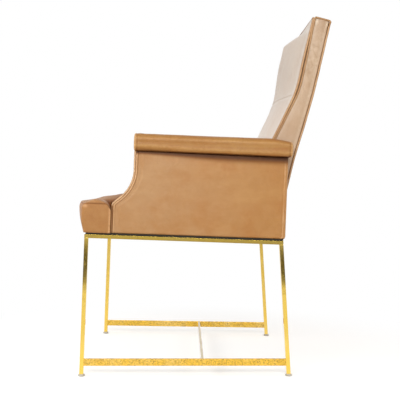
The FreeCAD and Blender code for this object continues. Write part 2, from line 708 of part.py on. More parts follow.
def upper_pad_section(share, half):
    """One side view section of the upper pad: fullest at its shoulder, thin at its top edge."""
    crown = pad_crown(share)
    across = share * half
    top = size.welt_top_height - size.piping - size.fit
    bottom = size.pad_seam_height + size.pad_seam_gap / 2
    shoulder = top - (top - bottom) * SHOULDER_DROP_SHARE
    turn = top - (top - bottom) * TOP_ROUND_SHARES[1]
    swell = size.pad_edge_crown

    def front(height, forward):
        return Vector(across, welt_line(height) - forward, height)

    seam = front(bottom, crown * SEAM_CROWN_SHARE)
    bulge = front((bottom + shoulder) / 2, crown * HEAD_CROWN_SHARE + swell)
    turned = front(shoulder, crown * SHOULDER_CROWN_SHARE + swell / 2)
    rounding = front(turn, crown * TOP_ROUND_SHARES[0] + swell / 2)
    crest = front(top, 0)
    under = top - size.boxing_thick - size.fit
    lip = Vector(across, crest.y + size.piping, top)
    step = Vector(across, lip.y, under)
    rear_corner, front_corner = cap_corners()
    fall = (front_corner.z - rear_corner.z) / (rear_corner.y - front_corner.y)
    drop = (pad_support(under) - lip.y) * fall
    back_top = Vector(across, pad_support(under - drop), under - drop)
    back_bottom = Vector(across, pad_support(bottom), bottom)
    return Part.Wire([Part.Arc(seam, bulge, turned).toShape(), Part.Arc(turned, rounding, crest).toShape(),
                      Part.makeLine(crest, lip), Part.makeLine(lip, step), Part.makeLine(step, back_top),
                      Part.makeLine(back_top, back_bottom), Part.makeLine(back_bottom, seam)])


def lower_pad_section(share, half):
    """One side view section of the lower pad: crowned, and tucked in at its foot."""
    crown = pad_crown(share)
    across = share * half
    top = size.pad_seam_height - size.pad_seam_gap / 2
    bottom = size.kink_height
    swell = size.pad_edge_crown

    def front(height, forward):
        return Vector(across, welt_line(height) - forward, height)

    seam = front(top, crown * SEAM_CROWN_SHARE)
    bulge = front(size.welt_lumbar_height, crown * LUMBAR_CROWN_SHARE + swell)
    tuck = front(bottom, crown * TUCK_CROWN_SHARE)
    back_bottom = Vector(across, pad_support(bottom), bottom)
    back_top = Vector(across, pad_support(top), top)
    return Part.Wire([Part.Arc(seam, bulge, tuck).toShape(), Part.makeLine(tuck, back_bottom),
                      Part.makeLine(back_bottom, back_top), Part.makeLine(back_top, seam)])


def foam_slab(low, high, half):
    """A flat foam slab lying on the back's webbing, inside its pad."""
    margin = size.back_foam_margin
    span = half - margin
    low = low + margin
    high = high - margin
    outline = [Vector(-span, pad_support(low), low), Vector(-span, pad_support(high), high),
               Vector(-span, pad_support(high) - size.back_foam, high),
               Vector(-span, pad_support(low) - size.back_foam, low)]
    return prism(outline, Vector(2 * span, 0, 0))


def make_pads():
    """The two back pads, each with its foam slab."""
    half = size.back_half - size.boxing_thick - size.fit
    for name, section, low, high in (
            ("upper", upper_pad_section, size.pad_seam_height, size.welt_top_height),
            ("lower", lower_pad_section, size.kink_height, size.pad_seam_height)):
        pad = Part.makeLoft([section(share, half) for share in PAD_SECTION_SHARES], True, False)
        foam = foam_slab(low, high, half)
        shaped("%s_back_pad" % name, pad.cut(foam))
        shaped("%s_back_foam" % name, foam)


def make_boxings():
    """Side boxings, top boxing and the bent outside back panel."""
    lip = size.piping + size.fit
    foot = size.kink_height
    top = size.rear_top_height - lip
    rear_corner, front_corner = cap_corners()
    outline = [Vector(0, rear_line(foot) - lip, foot), rear_corner, front_corner,
               Vector(0, welt_line(size.welt_bend_height) + lip, size.welt_bend_height),
               Vector(0, welt_line(size.welt_lumbar_height) + lip, size.welt_lumbar_height),
               Vector(0, welt_line(foot) + lip, foot)]
    for name, side in SIDES:
        start = size.back_half - size.boxing_thick if side > 0 else -size.back_half
        plate = prism([point + Vector(start, 0, 0) for point in outline], Vector(size.boxing_thick, 0, 0))
        shaped("%s_back_boxing" % name, plate)
    span = size.back_half - size.boxing_thick - size.fit
    thick = size.boxing_thick
    cap = [rear_corner, front_corner, front_corner - Vector(0, 0, thick),
           Vector(0, rear_line(top - thick) - lip, top - thick)]
    cap = [point - Vector(span, 0, 0) for point in cap]
    shaped("top_boxing", prism(cap, Vector(2 * span, 0, 0)))
    top = top - size.fit
    deep = level(size.outside_thick)
    panel = [Vector(-span, size.arm_rear, foot), Vector(-span, rear_line(top), top),
             Vector(-span, rear_line(top) - deep, top), Vector(-span, size.arm_rear - deep, foot)]
    low_half = inner_side(size.arm_rear, size.arm_thick - size.overhang) - size.fit
    low_panel = Part.makeBox(2 * low_half, deep, foot - size.shadow_gap,
                             Vector(-low_half, size.arm_rear - deep, size.shadow_gap))
    shaped("outside_back", prism(panel, Vector(2 * span, 0, 0)).fuse(low_panel).removeSplitter())


def back_path(line, low, high, half, bend=None):
    """A U up one side of the back, across the top and down the other side."""
    points = [Vector(half, line(low), low)]
    if bend is not None:
        points.append(Vector(half, line(bend), bend))
    points.append(Vector(half, line(high), high))
    points += [Vector(-point.x, point.y, point.z) for point in reversed(points)]
    corner = size.piping_corner
    radii = [corner, corner]
    if bend is not None:
        radii = [size.piping_bend, corner, corner, size.piping_bend]
    return rounded_wire(points, radii)


def make_back_piping():
    """The welt around the pads, the one around each side boxing and the one around the outside back."""
    radius = size.piping / 2
    half = size.back_half - radius
    low = size.arm_top + size.roll_high
    bend = size.welt_bend_height
    pad_line = back_path(lambda height: welt_line(height) + radius, low, size.welt_top_height - radius,
                         half, bend)
    shaped("pad_piping", tube(pad_line, size.piping))
    second = size.second_welt
    behind = size.piping + size.second_welt_gap
    rear_corner, front_corner = cap_corners()
    above = second / 2
    route = [Vector(0, welt_line(low) + behind, low), Vector(0, welt_line(bend) + behind, bend),
             front_corner + Vector(0, size.second_welt_gap, above), rear_corner + Vector(0, 0, above)]
    outer = size.back_half + second / 2 + size.fit
    lines = [rounded_wire([point + Vector(side * outer, 0, 0) for point in route],
                          [size.piping_bend, size.piping_corner]) for _, side in SIDES]
    shaped("boxing_piping", Part.makeCompound([tube(line, second) for line in lines]))
    rear = back_path(lambda height: rear_line(height) - radius, size.kink_height + size.piping,
                     size.rear_top_height - radius, half)
    shaped("rear_piping", tube(rear, size.piping))


def make_back_frame():
    """Two stiles, three rails and the webbing straps of the back."""
    rear = size.outside_thick + size.fit
    front = rear + size.stile_deep
    base = size.cloth_thick + size.frame_height
    top = size.rear_top_height - size.piping - size.boxing_thick - size.stile_deep * worth(BOX_SLOPE)
    kink = size.kink_height
    outline = [Vector(0, size.arm_rear - level(rear), base), Vector(0, size.arm_rear - level(rear), kink),
               Vector(0, rear_line(top) - level(rear), top), Vector(0, rear_line(top) - level(front), top),
               Vector(0, size.arm_rear - level(front), kink),
               Vector(0, size.arm_rear - level(front), base)]
    outer = size.back_half - size.boxing_thick - size.fit
    for name, side in SIDES:
        start = outer - size.stile_wide if side > 0 else -outer
        stile = prism([point + Vector(start, 0, 0) for point in outline], Vector(size.stile_wide, 0, 0))
        shaped("%s_stile" % name, stile)
    inner = stile_inner_face() - size.fit
    run = math.hypot(rear_line(top) - size.arm_rear, top - kink)
    for name, share in (("bottom", 0), ("lumbar", LUMBAR_SHARE), ("top", 1)):
        up = share * (run - size.back_rail_height)
        place = Vector(-inner, -front, up)
        block("back_%s_rail" % name,
              "2 * (back_half - boxing_thick - 2 * fit - stile_wide)", "stile_deep", "back_rail_height",
              back_plane.multiply(Placement(place, Rotation())))
    straps = []
    for index in range(BACK_STRAPS):
        up = run * (index + 0.5) / BACK_STRAPS - size.strap_wide / 2
        straps.append(Part.makeBox(2 * outer, size.strap_thick, size.strap_wide,
                                   Vector(-outer, -front - size.strap_thick, up)))
    shaped("back_webbing", Part.makeCompound(straps), back_plane)


# The whole chair

make_base()
make_fixings()
make_seat_frame()
make_seat_cushion()
make_arms()
make_pads()
make_boxings()
make_back_piping()
make_back_frame()
doc.recompute()

def extent_of_all():
    """The exact box around every piece, free of the slack round curved faces."""
    return Part.makeCompound([piece.Shape for piece in pieces]).optimalBoundingBox(False, False)


# Stand the chair with the middle of its footprint on the origin
extent = extent_of_all()
setback = Vector(0, -(extent.YMin + extent.YMax) / 2, 0)
for piece in pieces:
    piece.Placement = Placement(piece.Placement.Base + setback, piece.Placement.Rotation)
doc.recompute()

for thing in doc.Objects:
    if "Invalid" in thing.State or "Error" in thing.State:
        raise RuntimeError("%s did not recompute: %s" % (thing.Label, thing.State))
for piece in pieces:
    if piece.Shape.isNull() or not piece.Shape.isValid():
        raise RuntimeError("%s has no valid shape" % piece.Label)

os.makedirs("parts", exist_ok=True)
for piece in pieces:
    piece.Shape.exportStep("parts/%s.step" % piece.Label)
whole = extent_of_all()
print("%d pieces, %.1f wide, %.1f deep, %.1f high" % (len(pieces), whole.XLength, whole.YLength, whole.ZMax))
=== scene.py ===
import itertools
import json
import math

import bmesh
import bpy
import numpy as np
from mathutils import Matrix, Vector


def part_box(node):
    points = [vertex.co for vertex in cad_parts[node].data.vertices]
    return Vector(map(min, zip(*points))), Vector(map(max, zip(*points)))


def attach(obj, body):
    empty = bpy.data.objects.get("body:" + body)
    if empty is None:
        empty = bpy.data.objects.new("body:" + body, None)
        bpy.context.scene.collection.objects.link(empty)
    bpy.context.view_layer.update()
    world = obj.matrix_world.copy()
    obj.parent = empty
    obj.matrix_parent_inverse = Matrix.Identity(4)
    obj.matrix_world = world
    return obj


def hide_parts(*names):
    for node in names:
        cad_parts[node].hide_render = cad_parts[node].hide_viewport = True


# High back dining chair: leather upholstery over a welded brass bar base.
# Shapes are worked out in millimetres on the seat plane, which lies on the brass rails and leans
# back with them: x to the sitter's left, y to the rear, z up. on_chair() brings them to metres.

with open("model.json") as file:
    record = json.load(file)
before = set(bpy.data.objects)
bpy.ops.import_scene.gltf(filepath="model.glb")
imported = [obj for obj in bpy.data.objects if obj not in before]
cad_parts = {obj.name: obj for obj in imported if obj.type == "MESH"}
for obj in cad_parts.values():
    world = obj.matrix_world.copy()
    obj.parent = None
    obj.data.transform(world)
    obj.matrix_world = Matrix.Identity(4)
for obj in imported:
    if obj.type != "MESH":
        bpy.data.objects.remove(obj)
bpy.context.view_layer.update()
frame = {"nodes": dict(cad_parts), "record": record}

MM = 0.001
FRONT_FOOT_HALF, REAR_FOOT_HALF, FOOT_DEPTH = 294.0, 275.0, 569.0
FRONT_LEAN, REAR_LEAN = 10.0, 25.0
RAIL_TOP_FRONT, RAIL_TOP_REAR = 387.0, 373.0

SHADOW_GAP = 5.0
DECK = 62.8
SKIN, OVERHANG, FIT = 10.0, 6.0, 0.3
FACING_THICK, REAR_FACING_THICK = 5.6, 9.4
PIPING, SIDE_WELT_RADIUS = 6.0, 2.6
WELT_ROOM = PIPING + FIT

ARM_THICK, ARM_FRONT, ARM_POST_FRONT, ARM_REAR, ARM_TOP = 56.0, 79.5, 136.4, 555.0, 231.5
ARM_CORNER, ARM_SLOPE, CURVE_RADIUS, CORNER_RADIUS = 84.5, math.radians(40), 105.0, 6.0
ARM_INSIDE = ARM_THICK - OVERHANG
STRIP_WIDE, STRIP_START = ARM_THICK - 2 * SKIN - 2 * FIT, SKIN - OVERHANG + FIT
ROLL_OUTER, ROLL_WIDE, ROLL_HIGH, ROLL_FRONT, ROLL_REAR = 306.0, 82.0, 50.0, 128.5, 565.0

SEAT_FRONT, SEAT_REAR, SEAM_HEIGHT, WING_REAR = 2.0, 448.0, 85.0, 74.5
SEAT_WIDE_HALF, CROWN_HALF = FRONT_FOOT_HALF + OVERHANG, 262.0
SEAM_BOW, LOW_BOW = 43.0, 24.0

BACK_HALF, BOXING = 222.0, 6.0
PAD_HALF = BACK_HALF - BOXING - FIT
KINK_HEIGHT, PAD_SEAM, OUTSIDE_TOP, REAR_TOP_HEIGHT, TOP_HEIGHT = 105.0, 413.0, 617.0, 624.0, 636.0
PAD_CROWN, PAD_SWELL, TOP_CORNER = 42.0, 2.0, 5.5

TOE = math.atan((FRONT_FOOT_HALF - REAR_FOOT_HALF) / FOOT_DEPTH)
RAIL_SLOPE = (RAIL_TOP_FRONT - RAIL_TOP_REAR) / (FOOT_DEPTH - FRONT_LEAN - REAR_LEAN)
TILT = math.atan(RAIL_SLOPE)
SEAT_LEVEL = RAIL_TOP_FRONT + FRONT_LEAN * RAIL_SLOPE
FRONT_FEET = sum(corner.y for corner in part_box("front_left_glide")) / 2
SIDES = (("left", 1), ("right", -1))

# How finely surfaces are divided, the strip beside an edge that is divided finest, what counts as far
# from an edge, and a direction that no welt runs along
EDGE_STEP, WELT_STEP, WELT_SIDES, ROLL_COLUMNS = 2.2, 2.5, 16, 104
EDGE_STRIP, FAR_OFF = 15.0, 99.0
OFF_AXIS = (0.31, 0.52, 0.79)

# In metres: how near two points are merged, and how wide the corners of the brass bars are rounded
POLE_MERGE, BAR_MERGE = 0.00001, 0.00002
BAR_EDGE, RAIL_EDGE = 0.00018, 0.00005


# Places

def at(x, y, z):
    """Points from three coordinates, each of them a grid or one number."""
    return np.stack(np.broadcast_arrays(x, y, z), -1)


def on_chair(points):
    """Seat-plane millimetres to metres in the chair's frame: a turn by the tilt, then a lift."""
    x, y, z = np.moveaxis(points, -1, 0)
    level = y * math.cos(TILT) + z * math.sin(TILT)
    height = SEAT_LEVEL + z * math.cos(TILT) - y * math.sin(TILT)
    return at(x * MM, level * MM + FRONT_FEET, height * MM)


def on_side(side, along, inward, up):
    """A point of a toed-in side: along it rearwards, inwards square to it, and up."""
    x = side * (FRONT_FOOT_HALF - along * math.sin(TOE) - inward * math.cos(TOE))
    return at(x, along * math.cos(TOE) - inward * math.sin(TOE), up)


def inner_half(depth, inward):
    """Half width between the toed sides at a depth, that far inwards of their middle line."""
    return FRONT_FOOT_HALF - depth * math.tan(TOE) - inward / math.cos(TOE)


def through(places, values, softness):
    """A smooth curve through stations: straight runs between them, blurred with a bell of a width."""
    fine = np.linspace(places[0], places[-1], 1201)
    curve = np.interp(fine, places, values)
    step = fine[1] - fine[0]
    reach = int(3 * softness / step)
    bell = np.exp(-0.5 * (np.arange(-reach, reach + 1) * step / softness) ** 2)
    before = curve[0] + (curve[0] - curve[reach:0:-1])
    after = curve[-1] + (curve[-1] - curve[-2:-reach - 2:-1])
    curve = np.convolve(np.concatenate([before, curve, after]), bell / bell.sum(), "valid")
    return lambda place: np.interp(place, fine, curve)


welt_line = through((60, 105, 286, 325.6, 367, 409.5, 447, 512, 559, 640),
                    (430, 455, 515.1, 534.1, 552, 571.1, 581.2, 592.4, 602.2, 618), 14)
rear_line = through((0, 105, 154, 228.5, 328, 417, 514, 626),
                    (555, 555, 565.4, 580.5, 607, 629, 648.2, 669.6), 9)


# Small shape functions

def smooth(value, low, high):
    """The smooth step from 0 at low to 1 at high."""
    part = np.clip((value - low) / (high - low), 0, 1)
    return part * part * (3 - 2 * part)


def bump(value, middle, width):
    """A bell of height 1 round a middle."""
    return np.exp(-((value - middle) / width) ** 2)


def rounding(distance, radius):
    """How far a face falls back near its edge: a quarter circle of that radius."""
    part = np.clip(1 - distance / radius, 0, 1)
    return radius * (1 - np.sqrt(np.maximum(1 - part * part, 0)))


def unit(vectors):
    """The same directions with a length of 1."""
    return vectors / np.linalg.norm(vectors, axis=-1, keepdims=True)


def stations(length, strip, fine, coarse):
    """Places along a length: close together in a strip at each end, wider apart between."""
    first = np.linspace(0, strip, fine, endpoint=False)
    middle = np.linspace(strip, length - strip, coarse, endpoint=False)
    return np.concatenate([first, middle, length - np.linspace(strip, 0, fine + 1)])


def chain(stops, counts):
    """Places from the first stop to the last, evenly spaced on each run between two stops."""
    runs = [np.linspace(*ends, count)[1:] for *ends, count in zip(stops, stops[1:], counts)]
    return np.concatenate([stops[:1], *runs])


def spread(count, bend):
    """Places from -1 to 1 that lie closer together towards both ends: a share of a sine's half wave."""
    return np.sin(np.linspace(-1, 1, count) * math.pi / 2 * bend) / math.sin(math.pi / 2 * bend)


LATTICE = np.random.default_rng(11).random((24, 24, 24))


def drift(points, scale, shift=0.0):
    """Smooth noise from -1 to 1: random values on a lattice, blended between its corners."""
    place = points / scale + shift
    base = np.floor(place).astype(int)
    part = place - base
    part = part * part * (3 - 2 * part)
    total = 0.0
    for corner in itertools.product((0, 1), repeat=3):
        weight = np.prod(np.where(corner, part, 1 - part), -1)
        index = (base + corner) % len(LATTICE)
        total = total + weight * LATTICE[index[..., 0], index[..., 1], index[..., 2]]
    return 2 * total - 1


def creases(points, scale, sharpness, shift=0.0):
    """Thin ridges from 0 to 1 where the noise crosses zero."""
    return (1 - np.abs(drift(points, scale, shift))) ** sharpness


# Meshes

def into_scene(name, data):
    """A new object of the scene that holds the data."""
    thing = bpy.data.objects.new(name, data)
    bpy.context.scene.collection.objects.link(thing)
    return thing


def turn_out(mesh, merge=0.0):
    """Turn a closed mesh's faces outwards, after points nearer to each other than a distance are merged."""
    work = bmesh.new()
    work.from_mesh(mesh)
    if merge:
        bmesh.ops.remove_doubles(work, verts=work.verts, dist=merge)
    bmesh.ops.recalc_face_normals(work, faces=work.faces)
    work.to_mesh(mesh)
    work.free()


def place_piece(name, mesh, finish, nodes):
    """Put a mesh in the scene with its material and its body, and hide the nodes that it stands for."""
    material, slot = finish
    mesh.materials.append(material)
    piece = into_scene(name, mesh)
    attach(piece, "root")
    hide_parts(*nodes)
    return piece


def add_piece(name, points, faces, finish, nodes, deep=0.0, worn=0.0):
    """A piece of the chair from seat-plane points. Its painted shade and its pale marks of wear and painted
    highlight are stored for its finish.
    """
    mesh = bpy.data.meshes.new(name)
    mesh.from_pydata(on_chair(points).tolist(), [], faces)
    turn_out(mesh)
    mesh.polygons.foreach_set("use_smooth", np.ones(len(mesh.polygons), bool))
    for label, values in (("worn", worn), ("deep", deep)):
        held = mesh.attributes.new(label, "FLOAT", "POINT")
        values = np.broadcast_to(np.ravel(values), len(points))
        held.data.foreach_set("value", np.clip(values, 0, 2).astype(np.float32))
    return place_piece(name, mesh, finish, nodes)


def quads(index, ringed=False):
    """The faces of a grid of vertex numbers, whose last column may also join its first."""
    if ringed:
        index = np.concatenate([index, index[:, :1]], 1)
    corners = [index[:-1, :-1], index[1:, :-1], index[1:, 1:], index[:-1, 1:]]
    return np.stack(corners, -1).reshape(-1, 4).tolist()


def border(grid):
    """The outer ring of a grid, once round."""
    return np.concatenate([grid[:, 0], grid[-1, 1:], grid[-2::-1, -1], grid[0, -2:0:-1]])


def slab(front, back, rings=()):
    """A closed body: a front grid, a back grid with the same corners, and rings between their borders."""
    rows, columns = front.shape[:2]
    index = np.arange(rows * columns).reshape(rows, columns)
    rim = border(index)
    rings = np.reshape(rings, (-1, len(rim), 3))
    between = 2 * index.size + np.arange(len(rings) * len(rim)).reshape(-1, len(rim))
    walls = np.concatenate([rim[None], between, rim[None] + index.size])
    points = np.concatenate([front.reshape(-1, 3), back.reshape(-1, 3), rings.reshape(-1, 3)])
    return points, quads(index) + quads(index + index.size) + quads(walls, True)


def padded_skin(name, front, back, finish, nodes, fill, deep, worn=0.0):
    """A padded piece between a front and a back grid, which carry the same stored values."""
    points, faces = slab(front, back)
    stored = (np.tile(np.broadcast_to(values, front.shape[:2]).ravel(), 2) for values in (deep, worn))
    return add_piece(name, points, faces, finish, nodes, *stored)


def even(path, step):
    """The same path with points an even step apart."""
    travel = np.concatenate([[0], np.cumsum(np.linalg.norm(np.diff(path, axis=0), axis=1))])
    places = np.linspace(0, travel[-1], max(int(travel[-1] / step), 2) + 1)
    return np.stack([np.interp(places, travel, path[:, axis]) for axis in range(path.shape[1])], -1)


def tubes(paths, radii):
    """Closed round tubes along paths: a circle square to each path, carried along without twist.

    The last result tells how far each point lies on the tube's outward or upper crest, from -1 to 1.
    """
    points, faces, crest = [], [], []
    turn = np.linspace(0, 2 * np.pi, WELT_SIDES, endpoint=False)[None, :, None]
    start = 0
    for path, radius in zip(paths, radii):
        run = unit(np.gradient(path, axis=0))
        across = unit(np.cross(run, OFF_AXIS))
        ring = np.cos(turn) * across[:, None] + np.sin(turn) * np.cross(run, across)[:, None]
        body = path[:, None] + radius[:, None, None] * ring
        outward = np.maximum(ring[..., 0] * np.sign(path[:, :1]), ring[..., 2])
        crest += [outward.ravel(), [0, 0]]
        points += [body.reshape(-1, 3), path[:1], path[-1:]]
        index = start + np.arange(outward.size).reshape(outward.shape)
        faces += quads(index, True)
        start += outward.size
        for pole, rim in ((start, index[0]), (start + 1, index[-1])):
            faces += np.stack([np.full(WELT_SIDES, pole), rim, np.roll(rim, -1)], -1).tolist()
        start += 2
    return np.concatenate(points), faces, np.concatenate(crest)


def add_tubes(name, paths, radius, nodes, crest_rub_and_sheen=0.6, shaded=-100):
    """Leather piping that wavers a little along its path, pale on its crest from wear and painted highlight,
    with painted shade beside it.

    Below the shaded height its crest gets no pale, and all of it is painted dark as shade.
    """
    paths = [even(path, WELT_STEP) for path in paths]
    paths = [path + 0.25 * at(*(drift(path, 23, shift) for shift in (0.3, 5.3, 9.7))) for path in paths]
    radii = [radius * (1 + 0.05 * drift(path, 9, 2.2)) for path in paths]
    points, faces, crest = tubes(paths, radii)
    in_light = smooth(points[:, 2], shaded, shaded + 10)
    # Painted shade beside the crest and below the shaded height; the pale crest is wear and painted
    # highlight.
    deep = 0.9 * (1 - smooth(crest, 0.1, 0.75) * (0.3 + 0.7 * in_light))
    worn = crest_rub_and_sheen * smooth(crest, 0.5, 0.95) * in_light
    return add_piece(name, points, faces, piping_finish, nodes, deep, worn)


# Materials

def times(colour, *factors):
    """A colour times one factor, or times one for each channel."""
    return tuple(np.multiply(colour, factors).tolist())


class Field:
    """A socket of a material that takes part in sums: each sum adds a Math node."""

    def __init__(self, nodes, socket):
        self.nodes = nodes
        self.socket = socket

    def sum(self, operation, *others):
        """The result of a Math node on this field and the others."""
        return self.nodes.field("ShaderNodeMath", {"operation": operation}, dict(enumerate((self, *others))))

    def __add__(self, other):
        return self.sum("ADD", other)

    __radd__ = __add__

    def __mul__(self, other):
        return self.sum("MULTIPLY", other)

    __rmul__ = __mul__

    def __sub__(self, other):
        return self.sum("SUBTRACT", other)

    def __rsub__(self, other):
        return (self * -1) + other

    def step(self, low, high):
        """The smooth step of this field from low to high."""
        return self.nodes.field("ShaderNodeMapRange", {"interpolation_type": "SMOOTHSTEP"},
                                {"Value": self, "From Min": low, "From Max": high})


class Nodes:
    """The nodes of one material or world: any node comes from node(), and sums of fields add the rest."""

    def __init__(self, tree):
        self.tree = tree
        self.tree.nodes.clear()

    def node(self, kind, settings=None, inputs=None):
        """A new node of a kind, with its settings and the values or fields of its sockets."""
        made = self.tree.nodes.new(kind)
        for name, value in (settings or {}).items():
            if name == "stops":
                while len(made.color_ramp.elements) < len(value):
                    made.color_ramp.elements.new(1)
                for element, (position, colour) in zip(made.color_ramp.elements, value):
                    element.position = position
                    element.color = (*colour, 1)
            else:
                setattr(made, name, value)
        for name, value in (inputs or {}).items():
            self.give(made.inputs[name], value)
        return made

    def give(self, socket, value):
        """Link a field to a socket, or set its value; a plain colour gets its fourth channel."""
        if isinstance(value, Field):
            self.tree.links.new(value.socket, socket)
        elif socket.type == "RGBA" and len(value) == 3:
            socket.default_value = (*value, 1)
        else:
            socket.default_value = value

    def field(self, kind, settings=None, inputs=None, output=0):
        """One output of a new node."""
        return Field(self, self.node(kind, settings, inputs).outputs[output])

    def blend(self, factor, first, second, kind="MIX"):
        """Two colours mixed by a factor."""
        return self.field("ShaderNodeMix", {"data_type": "RGBA", "blend_type": kind},
                          {0: factor, 6: first, 7: second}, 2)

    def coated(self, colour, *coats):
        """A ground colour under coats, each a mask and the colour that it lays over all before it."""
        for mask, coat in coats:
            colour = self.blend(mask, colour, coat)
        return colour


class Paint(Nodes):
    """One material with its main shader, and the patterns that its colours and relief are made of."""

    def __init__(self, name):
        self.material = bpy.data.materials.new(name)
        self.material.use_nodes = True
        super().__init__(self.material.node_tree)
        self.shader = self.node("ShaderNodeBsdfPrincipled")
        self.node("ShaderNodeOutputMaterial", inputs={"Surface": Field(self, self.shader.outputs[0])})
        self.place = self.field("ShaderNodeTexCoord", output="Object")

    def axes(self):
        """The three object coordinates apart, in metres."""
        made = self.node("ShaderNodeSeparateXYZ", inputs={0: self.place})
        return [Field(self, output) for output in made.outputs]

    def noise(self, scale, detail, roughness=0.55, factors=(1, 1, 1), distortion=0.0):
        """Soft noise from 0 to 1, so many cells to a metre times a factor on each axis."""
        place = self.field("ShaderNodeVectorMath", {"operation": "MULTIPLY"}, {0: self.place, 1: factors})
        return self.field("ShaderNodeTexNoise", inputs={"Vector": place, "Scale": scale, "Detail": detail,
                                                        "Roughness": roughness, "Distortion": distortion})

    def cells(self, scale, feature="F1"):
        """Distances in a pattern of cells, so many to a metre."""
        inputs = {"Vector": self.place, "Scale": scale}
        return self.field("ShaderNodeTexVoronoi", {"feature": feature}, inputs)

    def stored(self, name):
        """A value that the mesh carries at each vertex."""
        return self.field("ShaderNodeAttribute", {"attribute_name": name}, output="Fac")

    def ramp(self, field, *stops):
        """A field turned into colours through stops of position and colour."""
        return self.field("ShaderNodeValToRGB", {"stops": stops}, {0: field})

    def relief(self, field, depth, before=None):
        """Bump by a height field, in metres, on top of an earlier bump."""
        inputs = {"Height": field, "Strength": 1.0, "Distance": depth}
        if before is not None:
            inputs["Normal"] = before
        return self.field("ShaderNodeBump", inputs=inputs)

    def finish(self, **inputs):
        """Set the shader's own sockets, and hand over the material."""
        for name, value in inputs.items():
            self.give(self.shader.inputs[name.replace("_", " ")], value)
        return self.material


def leather(name, light, tone, rich, roughness=0.42, streaks=(1, 1, 1), faded=0.0, painted_gradient=None, gloss=0.5):
    """Aged caramel hide: mottled tones, soft streaks, fine pebbled grain, pale ridges from wear and painted
    highlight, painted shade in the seams.

    The colour gradient is an axis, the two places in metres between which the hide changes, and the factor on
    its colour: painted light that darkens the piece towards one end. One stored value pales the ridges, as
    wear and as painted highlight; the other darkens seams and crevices as painted shade up to 1, and paints
    deeper shade past 1.
    """
    paint = Paint(name)
    mottle = paint.noise(9, 4, 0.6).step(0.36, 0.66)
    blotch = paint.noise(31, 3, 0.6, distortion=0.4).step(0.4, 0.72)
    streak = paint.noise(26, 3, 0.6, streaks).step(0.42, 0.72)
    worn = paint.stored("worn").sum("MINIMUM", 1)
    shade = paint.stored("deep")
    deep = shade.sum("MINIMUM", 1)
    rub_and_sheen = worn * (paint.noise(140, 3, 0.6).step(0.3, 0.62) * 0.5 + 0.5)
    pores = paint.cells(820, "DISTANCE_TO_EDGE").step(0.0, 0.22)
    scuff = paint.noise(420, 2, 0.7, (1, 0.2, 1)).step(0.66, 0.74) * paint.noise(17, 2).step(0.5, 0.62)
    # The pale tone of wear and of painted highlight.
    rub_and_sheen_tone = tuple(min(channel * 1.4 + 0.08, 0.88) for channel in light)
    colour = paint.coated(tone, (mottle, rich), (streak * 0.45, light), (blotch * 0.3, light))
    # Painted light: the colour darkens between two places along one axis.
    if painted_gradient:
        axis, low, high, factor = painted_gradient
        gradient_colour = paint.blend(1.0, colour, factor, "MULTIPLY")
        colour = paint.blend(paint.axes()[axis].step(low, high), colour, gradient_colour)
    # Over the ground: pale wear with painted highlight, painted shade in seams and crevices, deeper painted
    # shade past 1, grain pores and scuffs.
    colour = paint.coated(colour, (rub_and_sheen * 0.85, rub_and_sheen_tone), (deep * 0.85, times(rich, 0.44, 0.3, 0.1)),
                          (shade - 1, times(rich, 0.13, 0.07, 0.04)), ((1 - pores) * 0.16, times(rich, 0.6)),
                          (scuff * 0.28, light))
    rough = roughness + streak * 0.1 - rub_and_sheen * 0.1 + deep * 0.2 + mottle * 0.06 + scuff * 0.1
    wavy = paint.relief(paint.noise(34, 2, 0.5, distortion=0.3), 0.0022)
    normal = paint.relief(pores + paint.noise(2100, 2, 0.6) * 0.35, 0.00011, wavy)
    return paint.finish(Base_Color=colour, Roughness=rough, Normal=normal, IOR=1.47, Coat_Roughness=0.36,
                        Coat_Weight=(1 - deep) * (0.12 + faded), Specular_IOR_Level=gloss)


def brass(name, yellow, pale, pitted=0.0, satin=0.1):
    """Worn satin brass bar: drawn streaks, brown tarnish in patches, small dark pits."""
    paint = Paint(name)
    drawn = paint.noise(60, 2, 0.5, (8, 1, 8)) * 0.5 + paint.noise(60, 2, 0.5, (8, 8, 1)) * 0.5
    cloud = paint.noise(16, 4, 0.65).step(0.42, 0.7)
    stain = paint.noise(48, 4, 0.7, distortion=0.6).step(0.55, 0.7)
    pitting = paint.noise(70, 2, 0.6).step(0.6 - 0.2 * pitted, 0.72 - 0.16 * pitted)
    pits = (1 - paint.cells(260).step(0.12, 0.34)) * pitting * (0.1 + 0.9 * pitted)
    speck = paint.noise(250, 3, 0.7).step(0.44, 0.6)
    brown, pit_brown = (0.42, 0.22, 0.06), (0.16, 0.085, 0.03)
    colour = paint.coated(yellow, (cloud, pale), (speck * (0.04 + 0.5 * pitted), times(yellow, 0.55)),
                          (stain * (0.03 + 0.45 * pitted), brown), (pits * 0.85, pit_brown))
    rough = satin + 0.08 * pitted + cloud * 0.03 + stain * 0.1 + pits * 0.35 + drawn * 0.05
    normal = paint.relief(pits * -1, 0.0003, paint.relief(drawn, 0.000002 + 0.00008 * pitted))
    return paint.finish(Base_Color=colour, Metallic=0.94 - pits * 0.5, Roughness=rough, Normal=normal)


def moulded(name):
    """Pale grey moulded glide, dirty in patches and darker towards the floor."""
    paint = Paint(name)
    dirt = paint.noise(180, 4, 0.65).step(0.45, 0.7)
    low = 1 - paint.axes()[2].step(0.0005, 0.004)
    colour = paint.blend(dirt * 0.35 + low * 0.35, (0.6, 0.57, 0.49), (0.26, 0.23, 0.18))
    normal = paint.relief(paint.noise(900, 2), 0.00008)
    return paint.finish(Base_Color=colour, Roughness=0.45 + dirt * 0.2, Normal=normal)


